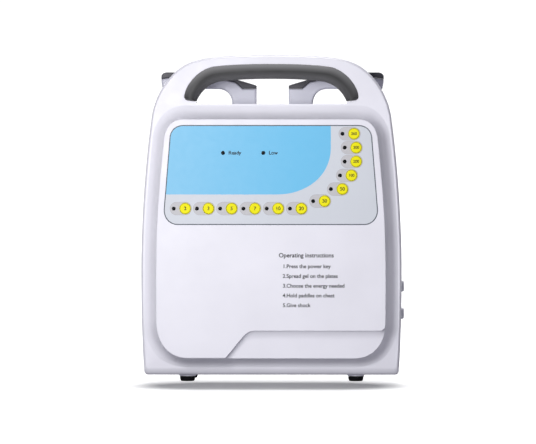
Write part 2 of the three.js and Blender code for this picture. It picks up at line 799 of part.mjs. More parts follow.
function buttonWell(radius, zLow, zHigh) {
  return rod(radius, zHigh - zLow, "up", [PADDLE_BUTTON_U, PADDLE_Y, zLow]);
}

function paddleHandle() {
  const body = alongY(paddleHandleOutline, PADDLE_YS[0], PADDLE_YS[1], {
    round: 3,
    holes: [fingerGap],
  });
  return cut(body, buttonWell(BUTTON_RADIUS + 1.4, 360.5, 370));
}

function paddleCap() {
  const [front, back] = PADDLE_YS;
  const body = alongY(paddleCapOutline, front - 0.5, back + 0.5, { round: 1.2, roundSteps: 1 });
  return cut(body, buttonWell(BUTTON_RADIUS + GAP, 360, 380));
}

function paddleButton() {
  const profile = [
    [0, 363.4],
    [BUTTON_RADIUS + 1, 363.4],
    [BUTTON_RADIUS + 1, 364.9],
    [BUTTON_RADIUS, 364.9],
    [BUTTON_RADIUS, 373.6],
    [BUTTON_RADIUS - 1.2, 374.4],
    [0, 374.8],
  ];
  return turned(profile, "up", [PADDLE_BUTTON_U, PADDLE_Y, 0]);
}

function paddleBase() {
  const outline = rectangle([18, 126], [PADDLE_Y - 42, PADDLE_Y + 42], 12);
  return alongZ(outline, PADDLE_BASE_BOTTOM, PADDLE_BASE_TOP, { round: 2.5 });
}

function paddleElectrode() {
  const outline = rectangle([24, 120], [PADDLE_Y - 36, PADDLE_Y + 36], 10);
  const top = PADDLE_BASE_BOTTOM - GAP;
  return alongZ(outline, top - 1.4, top);
}

function paddleGland() {
  const profile = [
    [2.6, 0],
    [6, 0],
    [6, 2],
    [4.6, 8],
    [2.6, 8],
    [2.6, 0],
  ];
  return turned(profile, "back", [34, PADDLE_YS[1] + GAP, 330], 12);
}

// ---------------------------------------------------------------- fittings

function testContact() {
  const outline = rectangle([58, 86], [PADDLE_Y - 14, PADDLE_Y + 14], 6);
  return alongZ(outline, WELL_FLOOR + GAP, WELL_FLOOR + 1.3);
}

// A paddle lead's socket in the right side: collar, inner flange, bore and centre contact.
function paddleSocket(z) {
  const collar = [
    [0, 0],
    [5.8, 0],
    [5.8, 4],
    [9, 4],
    [9, 6],
    [6.9, 6],
    [6.9, 15.8],
    [6.5, 17.2],
    [5.6, 18],
    [4, 18],
    [4, 6],
    [1.2, 6],
    [1.2, 11.4],
    [0, 12],
  ];
  return turned(collar, "right", [141.5, SOCKET_Y, z]);
}

function foot([x, y]) {
  const profile = [
    [0, 0],
    [7, 0],
    [8.6, 1],
    [9.3, 2.6],
    [9.5, FOOT_HEIGHT],
    [2.7, FOOT_HEIGHT],
    [2.7, 11],
    [0, 11],
  ];
  return turned(profile, "up", [x, y, 0]);
}

function housingScrew([x, z]) {
  const profile = [
    [0, 0],
    [1.2, 0],
    [1.2, 159.5],
    [3.7, 159.5],
    [3.7, 161.3],
    [2.6, 162.2],
    [0, 162.4],
  ];
  return turned(profile, "back", [x, SCREW_SEAT_Y + GAP - 159.5, z], 12);
}

function batteryDoor() {
  const [x0, x1, z0, z1] = BATTERY_BAY;
  const cover = rectangle([x0 - 5 + GAP, x1 + 5 - GAP], [z0 - 5 + GAP, z1 + 5 - GAP], 4);
  const plate = alongY(cover, REAR_Y - 2.4, REAR_Y);
  const rib = rectangle([x0 + 1, x1 - 1], [z0 + 1, z1 - 1], 3);
  const ribInside = rectangle([x0 + 3, x1 - 3], [z0 + 3, z1 - 3], 3);
  const ring = alongY(rib, REAR_Y - 5, REAR_Y - 2, { holes: [ribInside] });
  const pull = rod(9, 20, "up", [(x0 + x1) / 2, REAR_Y + 6, z1 - 16]);
  return cut(joined(plate, ring), pull);
}

function batteryPack() {
  const [x0, x1, z0, z1] = BATTERY_BAY;
  const pack = rectangle([x0 + 1.5, x1 - 1.5], [z0 + 1.5, z1 - 1.5], 3);
  const middle = (x0 + x1) / 2;
  const terminals = [-30, 30].map((dx) => rod(3, 4, "forward", [middle + dx, 23, z1 - 12], 10));
  return joined(alongY(pack, 22, REAR_Y - 6, { round: 1.5, roundSteps: 1 }), ...terminals);
}

function mainsInlet() {
  const floor = REAR_Y - MAINS_RECESS;
  const flange = rectangle([SWITCH_X - 25, SWITCH_X + 25], [INLET_Z - 12, INLET_Z + 12], 3);
  const body = rectangle([SWITCH_X - 14, SWITCH_X + 14], [INLET_Z - 10, INLET_Z + 10], 2);
  const mouth = rectangle([SWITCH_X - 12, SWITCH_X + 12], [INLET_Z - 8, INLET_Z + 8], 2);
  const shell = joined(alongY(flange, floor + GAP, floor + 3), alongY(body, floor - 21, floor + 1));
  const pins = [-7, 0, 7].map((dx) => {
    const dz = dx === 0 ? 3 : 0;
    const [x, z] = [SWITCH_X + dx, INLET_Z + dz];
    const blade = rectangle([x - 1, x + 1], [z - 2.5, z + 2.5]);
    return alongY(blade, floor - 18, floor - 3);
  });
  const screwHole = (dx) => rod(1.7, 10, "back", [SWITCH_X + dx, floor - 1, INLET_Z], 10);
  const screwHoles = [-19.5, 19.5].map(screwHole);
  return joined(cut(shell, alongY(mouth, floor - 15, floor + 5), ...screwHoles), ...pins);
}

const ROCKER_PIVOT_Y = 90.3;
const ROCKER_TILT = THREE.MathUtils.degToRad(8);

function switchBody() {
  const floor = REAR_Y - MAINS_RECESS;
  const frame = rectangle([SWITCH_X - 12, SWITCH_X + 12], [SWITCH_Z - 12, SWITCH_Z + 12], 2);
  const body = rectangle([SWITCH_X - 10, SWITCH_X + 10], [SWITCH_Z - 9.7, SWITCH_Z + 9.7]);
  const mouth = rectangle([SWITCH_X - 7.4, SWITCH_X + 7.4], [SWITCH_Z - 9.2, SWITCH_Z + 9.2]);
  const shell = joined(alongY(frame, floor + GAP, floor + 1.8), alongY(body, floor - 17, floor + 1));
  return cut(shell, alongY(mouth, floor - 6.5, floor + 3));
}

function switchRocker() {
  const profile = [
    [-8, -0.5],
    [-4, -3.5],
    [4, -3.5],
    [8, -0.5],
    [8.1, 3.9],
    [7.2, 4.1],
    [0, 2.6],
    [-7.2, 4.1],
    [-8.1, 3.9],
  ].map(([up, out]) => new THREE.Vector2(out, up).rotateAround(new THREE.Vector2(), ROCKER_TILT));
  const placed = profile.map((p) => new THREE.Vector2(p.x + ROCKER_PIVOT_Y, p.y + SWITCH_Z));
  return alongX(placed, SWITCH_X - 7, SWITCH_X + 7);
}

function groundStud() {
  const profile = [
    [0, 0],
    [6, 0],
    [6, 3],
    [3, 3],
    [3, 14.4],
    [2, 15.6],
    [0, 15.6],
  ];
  return turned(profile, "back", [GROUND_X, REAR_Y - 16, INLET_Z], 12);
}

// ---------------------------------------------------------------- inside the case

const CHASSIS_YS = [-42, -40.5];

function chassisPlate() {
  const upright = rectangle([-120, 120], [14, 286], 8);
  const windows = [
    rectangle([-90, -20], [60, 130], 8),
    rectangle([30, 95], [60, 130], 8),
    rectangle([-40, 40], [230, 270], 8),
  ];
  const foldedFoot = block([-110, 110], [CHASSIS_YS[0], -5], [12.6, 14.4]);
  return joined(alongY(upright, CHASSIS_YS[0], CHASSIS_YS[1], { holes: windows }), foldedFoot);
}

function boardWithParts(xs, ys, zs, parts, front) {
  const sheet = block(xs, ys, zs);
  const made = parts.map(([x, z, width, height, tall]) => {
    const depth = front ? [ys[0] - tall, ys[0] + 0.5] : [ys[1] - 0.5, ys[1] + tall];
    return block([x - width / 2, x + width / 2], depth, [z - height / 2, z + height / 2]);
  });
  return joined(sheet, ...made);
}

function mainBoard() {
  const parts = [
    [-50, 180, 24, 24, 2.5],
    [10, 185, 14, 20, 2.5],
    [45, 160, 20, 12, 8],
    [-85, 150, 12, 34, 9],
    [80, 195, 10, 40, 9],
    [0, 150, 40, 8, 6],
  ];
  return boardWithParts([-105, 105], [-48, -46.4], [138, 224], parts, true);
}

function powerSupplyBoard() {
  const parts = [
    [45, 50, 30, 26, 24],
    [98, 60, 22, 40, 28],
    [60, 105, 34, 22, 20],
    [108, 112, 12, 24, 24],
  ];
  return boardWithParts([20, 122], [0, 1.6], [26, 134], parts, false);
}

const CAPACITOR_X = 74;
const CAPACITOR_Y = 30;
const CAPACITOR_RADIUS = 33;

function hvCapacitor() {
  const profile = [
    [0, 0],
    [31.5, 0],
    [CAPACITOR_RADIUS, 1.5],
    [CAPACITOR_RADIUS, 118],
    [31.5, 119.5],
    [29, 118],
    [0, 118],
  ];
  const can = turned(profile, "up", [CAPACITOR_X, CAPACITOR_Y, 150], 28);
  const posts = [-12, 12].map((dx) => rod(4, 11, "up", [CAPACITOR_X + dx, CAPACITOR_Y, 267], 12));
  return joined(can, ...posts);
}

function capacitorClamp() {
  const band = turned(
    [
      [CAPACITOR_RADIUS + GAP, 0],
      [CAPACITOR_RADIUS + 2, 0],
      [CAPACITOR_RADIUS + 2, 18],
      [CAPACITOR_RADIUS + GAP, 18],
      [CAPACITOR_RADIUS + GAP, 0],
    ],
    "up",
    [CAPACITOR_X, CAPACITOR_Y, 200],
    28,
  );
  const reach = CAPACITOR_Y - CAPACITOR_RADIUS - 1;
  const arms = [-8, 8].map((dx) =>
    block([CAPACITOR_X + dx - 1, CAPACITOR_X + dx + 1], [CHASSIS_YS[1] + GAP, reach + 1], [200, 218]),
  );
  const footPlate = block(
    [CAPACITOR_X - 16, CAPACITOR_X + 16],
    [CHASSIS_YS[1] + GAP, CHASSIS_YS[1] + 2],
    [200, 218],
  );
  return joined(band, ...arms, footPlate);
}

function hvTransformer() {
  const core = rectangle([-92, -36], [150, 198], 1);
  const windows = [block([-84, -71], [-23, 3], [158, 190]), block([-57, -44], [-23, 3], [158, 190])];
  const yoke = cut(alongY(core, -22, 2), ...windows);
  const winding = rod(13.2, 30, "up", [-64, -10, 159], 20);
  const feet = block([-92, -36], [CHASSIS_YS[1] + GAP, -20], [146, 154]);
  return joined(yoke, winding, feet);
}

function patientRelay() {
  const body = block([-90, -44], [CHASSIS_YS[1] + GAP, -6], [214, 252]);
  const poles = [-80, -67, -54].map((x) => rod(2, 6, "up", [x, -20, 251], 8));
  return joined(body, ...poles);
}

function speaker() {
  const profile = [
    [0, 0],
    [12, 0],
    [12, 6],
    [22, 12],
    [27, 12],
    [27, 14],
    [23, 14],
    [8, 8],
    [0, 9.5],
  ];
  return turned(profile, "back", [-75, REAR_Y - WALL - 1 - 14.6, 196.5], 24);
}

// A high-voltage lead from the relay to its socket, along the inside of the case.
function paddleLead(waypoints) {
  const route = new THREE.CatmullRomCurve3(waypoints.map((p) => new THREE.Vector3(...p)));
  const section = new THREE.Shape().absarc(0, 0, 2, 0, Math.PI * 2);
  return solidOf(
    new THREE.ExtrudeGeometry(section, { steps: 22, curveSegments: 4, extrudePath: route }),
  );
}

const LEAD_ROUTES = {
  upper: [
    [-54, -20, 258],
    [-50, -20, 272],
    [0, -24, 280],
    [100, -26, 270],
    [132, -30, 220],
    [131, -34, 140],
    [137.5, SOCKET_Y, SOCKET_ZS[0]],
  ],
  lower: [
    [-67, -20, 258],
    [-62, -14, 274],
    [0, -14, 286],
    [104, -16, 278],
    [139, -18, 220],
    [139, -22, 140],
    [131, -30, 105],
    [137.5, SOCKET_Y, SOCKET_ZS[1]],
  ],
};

// ---------------------------------------------------------------- the assembly

const defibrillator = new THREE.Group();

function add(name, solid, finish, mirror = false) {
  const mesh = new THREE.Mesh(geometryOf(solid), finish);
  mesh.name = name;
  if (mirror) mesh.scale.x = -1;
  defibrillator.add(mesh);
}

add("front_shell", frontShell(), casePlastic);
add("rear_shell", rearShell(), casePlastic);
add("handle_grip", handleGrip(), gripRubber);

add("keypad_overlay", keypadOverlay(), overlayFilm);
add("blue_window", blueWindow(), blueFilm);
add("led_light_guide", ledLightGuide(), lampPlastic);
add("keypad_board", keypadBoard(), boardGreen);
keys.forEach((key) => add(`key_${key[0]}`, energyKey(key), keyPlastic));

for (const side of ["left", "right"]) {
  const mirror = side === "left";
  add(`paddle_${side}_handle`, paddleHandle(), paddlePlastic, mirror);
  add(`paddle_${side}_cap`, paddleCap(), capPlastic, mirror);
  add(`paddle_${side}_button`, paddleButton(), buttonPlastic, mirror);
  add(`paddle_${side}_base`, paddleBase(), paddlePlastic, mirror);
  add(`paddle_${side}_electrode`, paddleElectrode(), electrodeSteel, mirror);
  add(`paddle_${side}_gland`, paddleGland(), capPlastic, mirror);
  add(`test_contact_${side}`, testContact(), electrodeSteel, mirror);
}

add("paddle_socket_upper", paddleSocket(SOCKET_ZS[0]), socketPlastic);
add("paddle_socket_lower", paddleSocket(SOCKET_ZS[1]), socketPlastic);
const FOOT_NAMES = ["front_left", "front_right", "rear_left", "rear_right"];
footPlaces().forEach((place, i) => add(`foot_${FOOT_NAMES[i]}`, foot(place), footRubber));
SCREW_PLACES.forEach((place, i) => add(`housing_screw_${i + 1}`, housingScrew(place), zincSteel));
add("battery_door", batteryDoor(), casePlastic);
add("mains_inlet", mainsInlet(), blackPlastic);
add("power_switch_body", switchBody(), blackPlastic);
add("power_switch_rocker", switchRocker(), blackPlastic);
add("ground_stud", groundStud(), zincSteel);

add("chassis_plate", chassisPlate(), zincSteel);
add("main_board", mainBoard(), boardGreen);
add("power_supply_board", powerSupplyBoard(), boardGreen);
add("hv_capacitor", hvCapacitor(), capacitorCan);
add("capacitor_clamp", capacitorClamp(), zincSteel);
add("hv_transformer", hvTransformer(), windingWrap);
add("patient_relay", patientRelay(), blackPlastic);
add("speaker", speaker(), blackPlastic);
add("battery_pack", batteryPack(), batteryWrap);
add("paddle_lead_upper", paddleLead(LEAD_ROUTES.upper), buttonPlastic);
add("paddle_lead_lower", paddleLead(LEAD_ROUTES.lower), buttonPlastic);

export default defibrillator;
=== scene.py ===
"""The looks of the portable defibrillator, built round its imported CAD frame.

Shapes are drawn in millimetres, as in the CAD, and turned into metres when a mesh is made.
Outlines lie in x and z; a piece's front faces -y.
"""

import math

import bmesh
import bpy
from mathutils import Matrix, Vector


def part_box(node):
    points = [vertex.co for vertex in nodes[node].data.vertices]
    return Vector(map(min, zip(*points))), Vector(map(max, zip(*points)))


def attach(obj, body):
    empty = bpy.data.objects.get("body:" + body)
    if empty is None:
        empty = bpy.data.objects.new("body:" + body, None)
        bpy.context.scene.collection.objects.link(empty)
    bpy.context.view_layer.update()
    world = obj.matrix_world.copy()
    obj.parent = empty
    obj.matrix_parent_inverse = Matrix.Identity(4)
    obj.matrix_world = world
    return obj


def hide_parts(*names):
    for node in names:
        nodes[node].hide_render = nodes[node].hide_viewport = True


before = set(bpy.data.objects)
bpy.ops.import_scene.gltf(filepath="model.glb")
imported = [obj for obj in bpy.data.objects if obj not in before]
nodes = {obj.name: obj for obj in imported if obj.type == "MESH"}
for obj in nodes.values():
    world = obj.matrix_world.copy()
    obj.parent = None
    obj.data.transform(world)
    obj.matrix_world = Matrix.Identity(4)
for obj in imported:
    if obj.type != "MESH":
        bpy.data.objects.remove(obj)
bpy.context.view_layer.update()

MM = 0.001


def node_box(name):
    """A CAD node's lowest and highest corners, in millimetres."""
    low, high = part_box(name)
    return [value / MM for value in low], [value / MM for value in high]


def node_centre(name):
    low, high = node_box(name)
    return [(a + b) / 2 for a, b in zip(low, high)]


# ------------------------------------------------------------------ places taken from the frame

FRONT_LOW, FRONT_HIGH = node_box("front_shell")
HALF_WIDTH = FRONT_HIGH[0]
CASE_BOTTOM = FRONT_LOW[2]
TOP_Z = FRONT_HIGH[2]
FACE_Y = FRONT_LOW[1]
SEAM_Y = FRONT_HIGH[1]
RIM_Y = FACE_Y + 28
STEP_DEPTH = 7
STEP_Z = 62.2
STEP_SWEEP = 12
STEP_CURVE = 2.6
PANEL_BOTTOM = 28.8
PANEL_TOP = 316.3
PANEL_LIP = 8.3
COVE_WIDTH = 15
COVE_WIDTH_ABOVE = 16.8
COVE_WIDTH_BELOW = 12
COVE_CURVE = 3.3
COVE_LEAN = 0.25
BASE_LEAN = 0.14
RIM_ROUND = 9
RIM_START = 0.26
RIDGE_Z = 334.2
SHEET_Y = node_box("keypad_overlay")[0][1]
KEY_RADIUS = 6.3
LAMP_RADIUS = 2.4
LAMP_OFFSET = 13.8
PILL_RADIUS = 7.6
PILL_PAST_LAMP = 4.3

ENERGIES = [2, 3, 5, 7, 10, 20, 30, 50, 100, 200, 300, 360]
KEY_PLACES = {energy: node_centre(f"key_{energy}") for energy in ENERGIES}
INDICATORS = [(-57.4, 275.6), (-9.1, 275.6)]

# ------------------------------------------------------------------ outlines


def path(start, *segments, steps=16):
    """Points along straight lines, given as (end,), and Bezier curves, as (control, control, end)."""
    made = [Vector(start)]
    for segment in segments:
        a, d = made[-1], Vector(segment[-1])
        if len(segment) == 3:
            b, c = (Vector(p) for p in segment[:2])
        else:
            b, c = a.lerp(d, 1 / 3), a.lerp(d, 2 / 3)
        for i in range(1, steps + 1):
            t = i / steps
            s = 1 - t
            made.append(a * s**3 + b * 3 * s * s * t + c * 3 * s * t * t + d * t**3)
    return made


def mirrored(half):
    """A whole outline from its right half, which runs from the bottom middle up to the top middle."""
    return half + [Vector((-p.x, p.y)) for p in reversed(half[1:-1])]


def both_sides(half):
    """An open edge from its right half, which ends at the middle."""
    return half + [Vector((-p.x, p.y)) for p in reversed(half[:-1])]


def offset(outline, distance):
    """An anticlockwise outline moved outwards, or inwards if the distance is negative."""
    made = []
    for i, point in enumerate(outline):
        before = (point - outline[i - 1]).normalized()
        after = (outline[(i + 1) % len(outline)] - point).normalized()
        normal = Vector((before.y + after.y, -before.x - after.x)).normalized()
        reach = distance / max(0.5, normal.dot(Vector((after.y, -after.x))))
        made.append(point + normal * reach)
    return made


def circle(centre, radius, count=32):
    turns = [2 * math.pi * i / count for i in range(count)]
    return [Vector((centre[0] + radius * math.cos(a), centre[1] + radius * math.sin(a))) for a in turns]


def rectangle(xs, zs, radius, steps=6):
    """A rectangle with round corners."""
    made = []
    corners = [(xs[1], zs[0], -90), (xs[1], zs[1], 0), (xs[0], zs[1], 90), (xs[0], zs[0], 180)]
    for x, z, first in corners:
        cx = x - math.copysign(radius, x - sum(xs) / 2)
        cz = z - math.copysign(radius, z - sum(zs) / 2)
        for i in range(steps + 1):
            a = math.radians(first + 90 * i / steps)
            made.append(Vector((cx + radius * math.cos(a), cz + radius * math.sin(a))))
    return made


def pill(left, right, z, radius):
    return rectangle((left, right), (z - radius, z + radius), radius * 0.999, steps=10)


case_outline = mirrored(
    path(
        (0, CASE_BOTTOM),
        ((148.2, CASE_BOTTOM),),
        ((151.5, CASE_BOTTOM), (153.3, 9.7), (153.5, 13.2)),
        ((155.3, 40), (HALF_WIDTH, 80), (HALF_WIDTH, 120)),
        ((HALF_WIDTH + 0.9, 190), (150.8, 272), (144.3, 318)),
        ((140.3, 349), (117.5, 381), (89, 387)),
        ((68.8, 392.5), (35, TOP_Z), (0, TOP_Z)),
    )
)

# Where the rim ends and the case's soft outer edge begins, point for point inside its outline.
rim_outline = mirrored(
    path(
        (0, CASE_BOTTOM + 8.3),
        ((145.6, CASE_BOTTOM + 8.3),),
        ((149, CASE_BOTTOM + 8.3), (150.8, 17.9), (151, 21)),
        ((152.8, 44), (HALF_WIDTH - 2.5, 80), (HALF_WIDTH - 2.5, 120)),
        ((HALF_WIDTH - 1.6, 190), (148.3, 272), (141.8, 318)),
        ((137.9, 347.5), (116, 378.6), (88.3, 384.6)),
        ((68.3, 390), (35, TOP_Z - 2.5), (0, TOP_Z - 2.5)),
    )
)

# Sampled in as many steps as the case, so that the two can be lofted together.
panel_outline = mirrored(
    path(
        (0, PANEL_BOTTOM),
        ((100, PANEL_BOTTOM),),
        ((122, PANEL_BOTTOM), (137.5, 46), (137.8, 72)),
        ((138.2, 100), (138.4, 140), (137.2, 180)),
        ((136, 217), (132.4, 255), (128.8, 290)),
        ((127.5, 307), (119, PANEL_TOP), (104.5, PANEL_TOP)),
        ((0, PANEL_TOP),),
    )
)

overlay_outline = mirrored(
    path(
        (0, 189),
        ((112, 189),),
        ((121.5, 189), (129.3, 197), (128.6, 208)),
        ((121.6, 295),),
        ((120.5, 303.5), (114, 309.2), (104.5, 309.2)),
        ((0, 309.2),),
    )
)

grip_upper = both_sides(
    path(
        (100.6, 338.5),
        ((103.4, 338.8), (104.8, 340.6), (104.9, 343)),
        ((104.9, 355), (89, 376), (70, 379.2)),
        ((54, 381.5), (30, 382.6), (0, 382.6)),
    )
)
grip_lower = both_sides(
    path(
        (90.2, 337.2),
        ((89.8, 338.5), (89.3, 339.8), (88.6, 341)),
        ((84, 349), (77, 357.3), (64, 360.6)),
        ((52, 362.8), (30, 364.2), (0, 364.2)),
    )
)
arch_hole = grip_upper + [Vector(p) for p in ((-90.8, 337), (-90.2, RIDGE_Z), (90.2, RIDGE_Z), (90.8, 337))]

step_region = path(
    (160, 15),
    ((160, 71),),
    ((138.5, 71),),
    ((138, 66), (134.5, STEP_Z), (130.5, STEP_Z)),
    ((-18, STEP_Z),),
    ((-27, STEP_Z), (-31, 58.3), (-36.4, 51.5)),
    ((-66.6, 15),),
)

# ------------------------------------------------------------------ meshes


def placed(name, mesh, flip=False):
    """A new object for a mesh in millimetres; flip mirrors it to the left side."""
    mesh.transform(Matrix.Diagonal((-MM if flip else MM, MM, MM, 1)))
    work = bmesh.new()
    work.from_mesh(mesh)
    bmesh.ops.remove_doubles(work, verts=work.verts, dist=2e-6)
    bmesh.ops.recalc_face_normals(work, faces=work.faces)
    work.to_mesh(mesh)
    work.free()
    made = bpy.data.objects.new(name, mesh)
    bpy.context.scene.collection.objects.link(made)
    return made


def loft(name, rings, flip=False):
    """A closed skin over rings of equal length, each a list of (x, y, z)."""
    count = len(rings[0])
    vertices = [point for ring in rings for point in ring]
    faces = [tuple(range(count)), tuple(range(len(vertices) - count, len(vertices)))]
    for ring in range(len(rings) - 1):
        for i in range(count):
            here, after = ring * count + i, ring * count + (i + 1) % count
            faces.append((here, after, after + count, here + count))
    mesh = bpy.data.meshes.new(name)
    mesh.from_pydata(vertices, [], faces)
    return placed(name, mesh, flip)


def ring(outline, y):
    return [(p.x, y, p.y) for p in outline]


def curve_mesh(curve, y, height=0.0):
    """The mesh of a flat curve drawn in x and z, with its middle at depth y."""
    holder = bpy.data.objects.new("drawn", curve)
    bpy.context.scene.collection.objects.link(holder)
    bpy.context.view_layer.update()
    graph = bpy.context.evaluated_depsgraph_get()
    mesh = bpy.data.meshes.new_from_object(holder.evaluated_get(graph))
    bpy.data.objects.remove(holder)
    mesh.transform(Matrix.Translation((0, y, height)) @ Matrix.Rotation(math.pi / 2, 4, "X"))
    return mesh


def prism(name, outlines, y_front, y_back, rounding=0.0, flip=False):
    """A plate with rounded edges from outlines; one that lies inside another is a hole."""
    curve = bpy.data.curves.new(name, "CURVE")
    curve.dimensions = "2D"
    curve.fill_mode = "BOTH"
    for outline in outlines:
        spline = curve.splines.new("POLY")
        spline.points.add(len(outline) - 1)
        for point, (x, z) in zip(spline.points, outline):
            point.co = (x, z, 0, 1)
        spline.use_cyclic_u = True
    curve.extrude = (y_back - y_front) / 2 - rounding
    curve.bevel_depth = rounding
    curve.bevel_resolution = 3
    curve.offset = -rounding
    return placed(name, curve_mesh(curve, (y_front + y_back) / 2), flip)


def turned(name, profile, axis, centre, count=40, flip=False):
    """A turned piece from (radius, distance along the axis) points."""
    turn = Vector((0, 0, 1)).rotation_difference(Vector(axis)).to_matrix().to_4x4()
    place = Matrix.Translation(centre) @ turn
    angles = [2 * math.pi * i / count for i in range(count)]
    rings = []
    for radius, along in profile:
        circle_points = [Vector((radius * math.cos(a), radius * math.sin(a), along)) for a in angles]
        rings.append([tuple(place @ p) for p in circle_points])
    return loft(name, rings, flip)


def arc_profile(points, steps=5):
    """A turned profile with each inner corner rounded by the radius given as its third value."""
    made = []
    for i, (r, a, rounding) in enumerate(points):
        if not rounding:
            made.append((r, a))
            continue
        here = Vector((r, a))
        towards = [(Vector(points[j][:2]) - here).normalized() * rounding for j in (i - 1, i + 1)]
        start, end = here + towards[0], here + towards[1]
        for k in range(steps + 1):
            t = k / steps
            p = start * (1 - t) ** 2 + here * 2 * t * (1 - t) + end * t * t
            made.append((p.x, p.y))
    return made


def combine(base, tool, operation="DIFFERENCE"):
    """Cuts the tool from the base, or joins it on, and removes the tool."""
    modifier = base.modifiers.new("combine", "BOOLEAN")
    modifier.solver = "EXACT"
    modifier.operation = operation
    modifier.object = tool
    graph = bpy.context.evaluated_depsgraph_get()
    mesh = bpy.data.meshes.new_from_object(base.evaluated_get(graph))
    base.modifiers.clear()
    base.data = mesh
    bpy.data.objects.remove(tool)


def round_edges(piece, chosen, width, segments=3, flat=0.5):
    """Rounds the sharp edges that a test picks by their two ends, given in millimetres.

    Faces are merged first where they meet within the angle flat, in degrees.
    """
    work = bmesh.new()
    work.from_mesh(piece.data)
    bmesh.ops.dissolve_limit(work, angle_limit=math.radians(flat), verts=work.verts, edges=work.edges)
    picked = []
    for edge in work.edges:
        if len(edge.link_faces) == 2 and edge.calc_face_angle(0) > math.radians(35):
            if chosen(*(v.co / MM for v in edge.verts)):
                picked.append(edge)
    bmesh.ops.bevel(
        work,
        geom=picked,
        offset=width * MM,
        segments=segments,
        profile=0.5,
        affect="EDGES",
        clamp_overlap=True,
    )
    work.to_mesh(piece.data)
    work.free()


def finished(piece, material, body="unit", stands_for=(), angle=35):
    """Gives a piece smooth shading, its material and the CAD body that it rides on."""
    piece.data.materials.clear()
    piece.data.materials.append(material)
    piece.data.shade_smooth()
    piece.data.set_sharp_from_angle(angle=math.radians(angle))
    piece.modifiers.new("normals", "WEIGHTED_NORMAL").keep_sharp = True
    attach(piece, body)
    if stands_for:
        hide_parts(*stands_for)
    return piece


def refined(node, material, body="unit", width=0.5):
    """A CAD piece's shape with rounded edges and smooth curves, in place of the plain solid."""
    mesh = nodes[node].data.copy()
    mesh.transform(Matrix.Scale(1 / MM, 4))
    piece = placed(f"{node}_finished", mesh)
    round_edges(piece, lambda a, b: True, width, segments=2)
    return finished(piece, material, body, (node,))


# ------------------------------------------------------------------ materials


def srgb(red, green, blue):
    """A colour given from 0 to 255 as the eye sees it."""
    values = [v / 255 for v in (red, green, blue)]
    return [v / 12.92 if v < 0.04045 else ((v + 0.055) / 1.055) ** 2.4 for v in values] + [1]


class Finish:
    """A material under construction: a Principled shader and the nodes that feed it."""

    def __init__(self, name, roughness=0.5, metallic=0.0, coat=0.0):
        self.material = bpy.data.materials.new(name)
        self.material.use_nodes = True
        self.tree = self.material.node_tree
        self.shader = self.tree.nodes["Principled BSDF"]
        self.shader.inputs["Roughness"].default_value = roughness
        self.shader.inputs["Metallic"].default_value = metallic
        self.shader.inputs["Coat Weight"].default_value = coat
        self.place = self.tree.nodes.new("ShaderNodeTexCoord").outputs["Object"]

    def stretched(self, scale, shift=(0, 0, 0)):
        mapping = self.tree.nodes.new("ShaderNodeMapping")
        mapping.inputs["Scale"].default_value = scale
        mapping.inputs["Location"].default_value = shift
        self.tree.links.new(self.place, mapping.inputs["Vector"])
        return mapping.outputs["Vector"]

    def vector(self, operation, place, amount):
        node = self.tree.nodes.new("ShaderNodeVectorMath")
        node.operation = operation
        node.inputs[1].default_value = amount
        self.tree.links.new(place, node.inputs[0])
        return node.outputs["Vector"]

    def noise(self, scale, detail=2.0, place=None):
        node = self.tree.nodes.new("ShaderNodeTexNoise")
        node.inputs["Scale"].default_value = scale
        node.inputs["Detail"].default_value = detail
        self.tree.links.new(place or self.place, node.inputs["Vector"])
        return node.outputs["Fac"]

    def cells(self, scale, place=None):
        node = self.tree.nodes.new("ShaderNodeTexVoronoi")
        node.inputs["Scale"].default_value = scale
        self.tree.links.new(place or self.place, node.inputs["Vector"])
        return node.outputs["Distance"]

    def ramp(self, source, stops):
        """Colours along a value: (position, colour) pairs."""
        node = self.tree.nodes.new("ShaderNodeValToRGB")
        elements = node.color_ramp.elements
        while len(elements) < len(stops):
            elements.new(0.5)
        for element, (position, colour) in zip(elements, stops):
            element.position = position
            element.color = colour
        self.tree.links.new(source, node.inputs["Fac"])
        return node.outputs["Color"]

    def colour(self, source, dark, light):
        made = self.ramp(source, [(0.3, dark), (0.7, light)])
        self.tree.links.new(made, self.shader.inputs["Base Color"])

    def roughness(self, source, low, high):
        node = self.tree.nodes.new("ShaderNodeMapRange")
        node.inputs["From Min"].default_value = 0.3
        node.inputs["From Max"].default_value = 0.7
        node.inputs["To Min"].default_value = low
        node.inputs["To Max"].default_value = high
        self.tree.links.new(source, node.inputs["Value"])
        self.tree.links.new(node.outputs["Result"], self.shader.inputs["Roughness"])

    def bump(self, source, height):
        """Raises the surface by the source, by a height in millimetres."""
        node = self.tree.nodes.new("ShaderNodeBump")
        node.inputs["Strength"].default_value = 1
        node.inputs["Distance"].default_value = height * MM
        self.tree.links.new(source, node.inputs["Height"])
        self.tree.links.new(node.outputs["Normal"], self.shader.inputs["Normal"])


    def facing_up(self):
        """How far the surface faces up: 0 straight down, 0.5 level and 1 straight up."""
        split = self.tree.nodes.new("ShaderNodeSeparateXYZ")
        self.tree.links.new(self.place.node.outputs["Normal"], split.inputs["Vector"])
        span = self.tree.nodes.new("ShaderNodeMapRange")
        span.inputs["From Min"].default_value = -1
        self.tree.links.new(split.outputs["Z"], span.inputs["Value"])
        return span.outputs["Result"]


def shade(colour, factor):
    return [min(1, v * factor) for v in colour[:3]] + [1]


def moulded_plastic(name, colour, roughness=0.42, grain=900, height=0.02, spread=0.03, gloss=0.5):
    """Moulded plastic: spark-eroded grain, cloudy gloss and a faint drift of colour."""
    finish = Finish(name, roughness)
    finish.colour(finish.noise(14, 4), shade(colour, 1 - spread), shade(colour, 1 + spread))
    finish.roughness(finish.noise(60, 3), roughness - 0.05, roughness + 0.06)
    finish.bump(finish.noise(grain, 3), height)
    finish.shader.inputs["Specular IOR Level"].default_value = gloss
    return finish.material


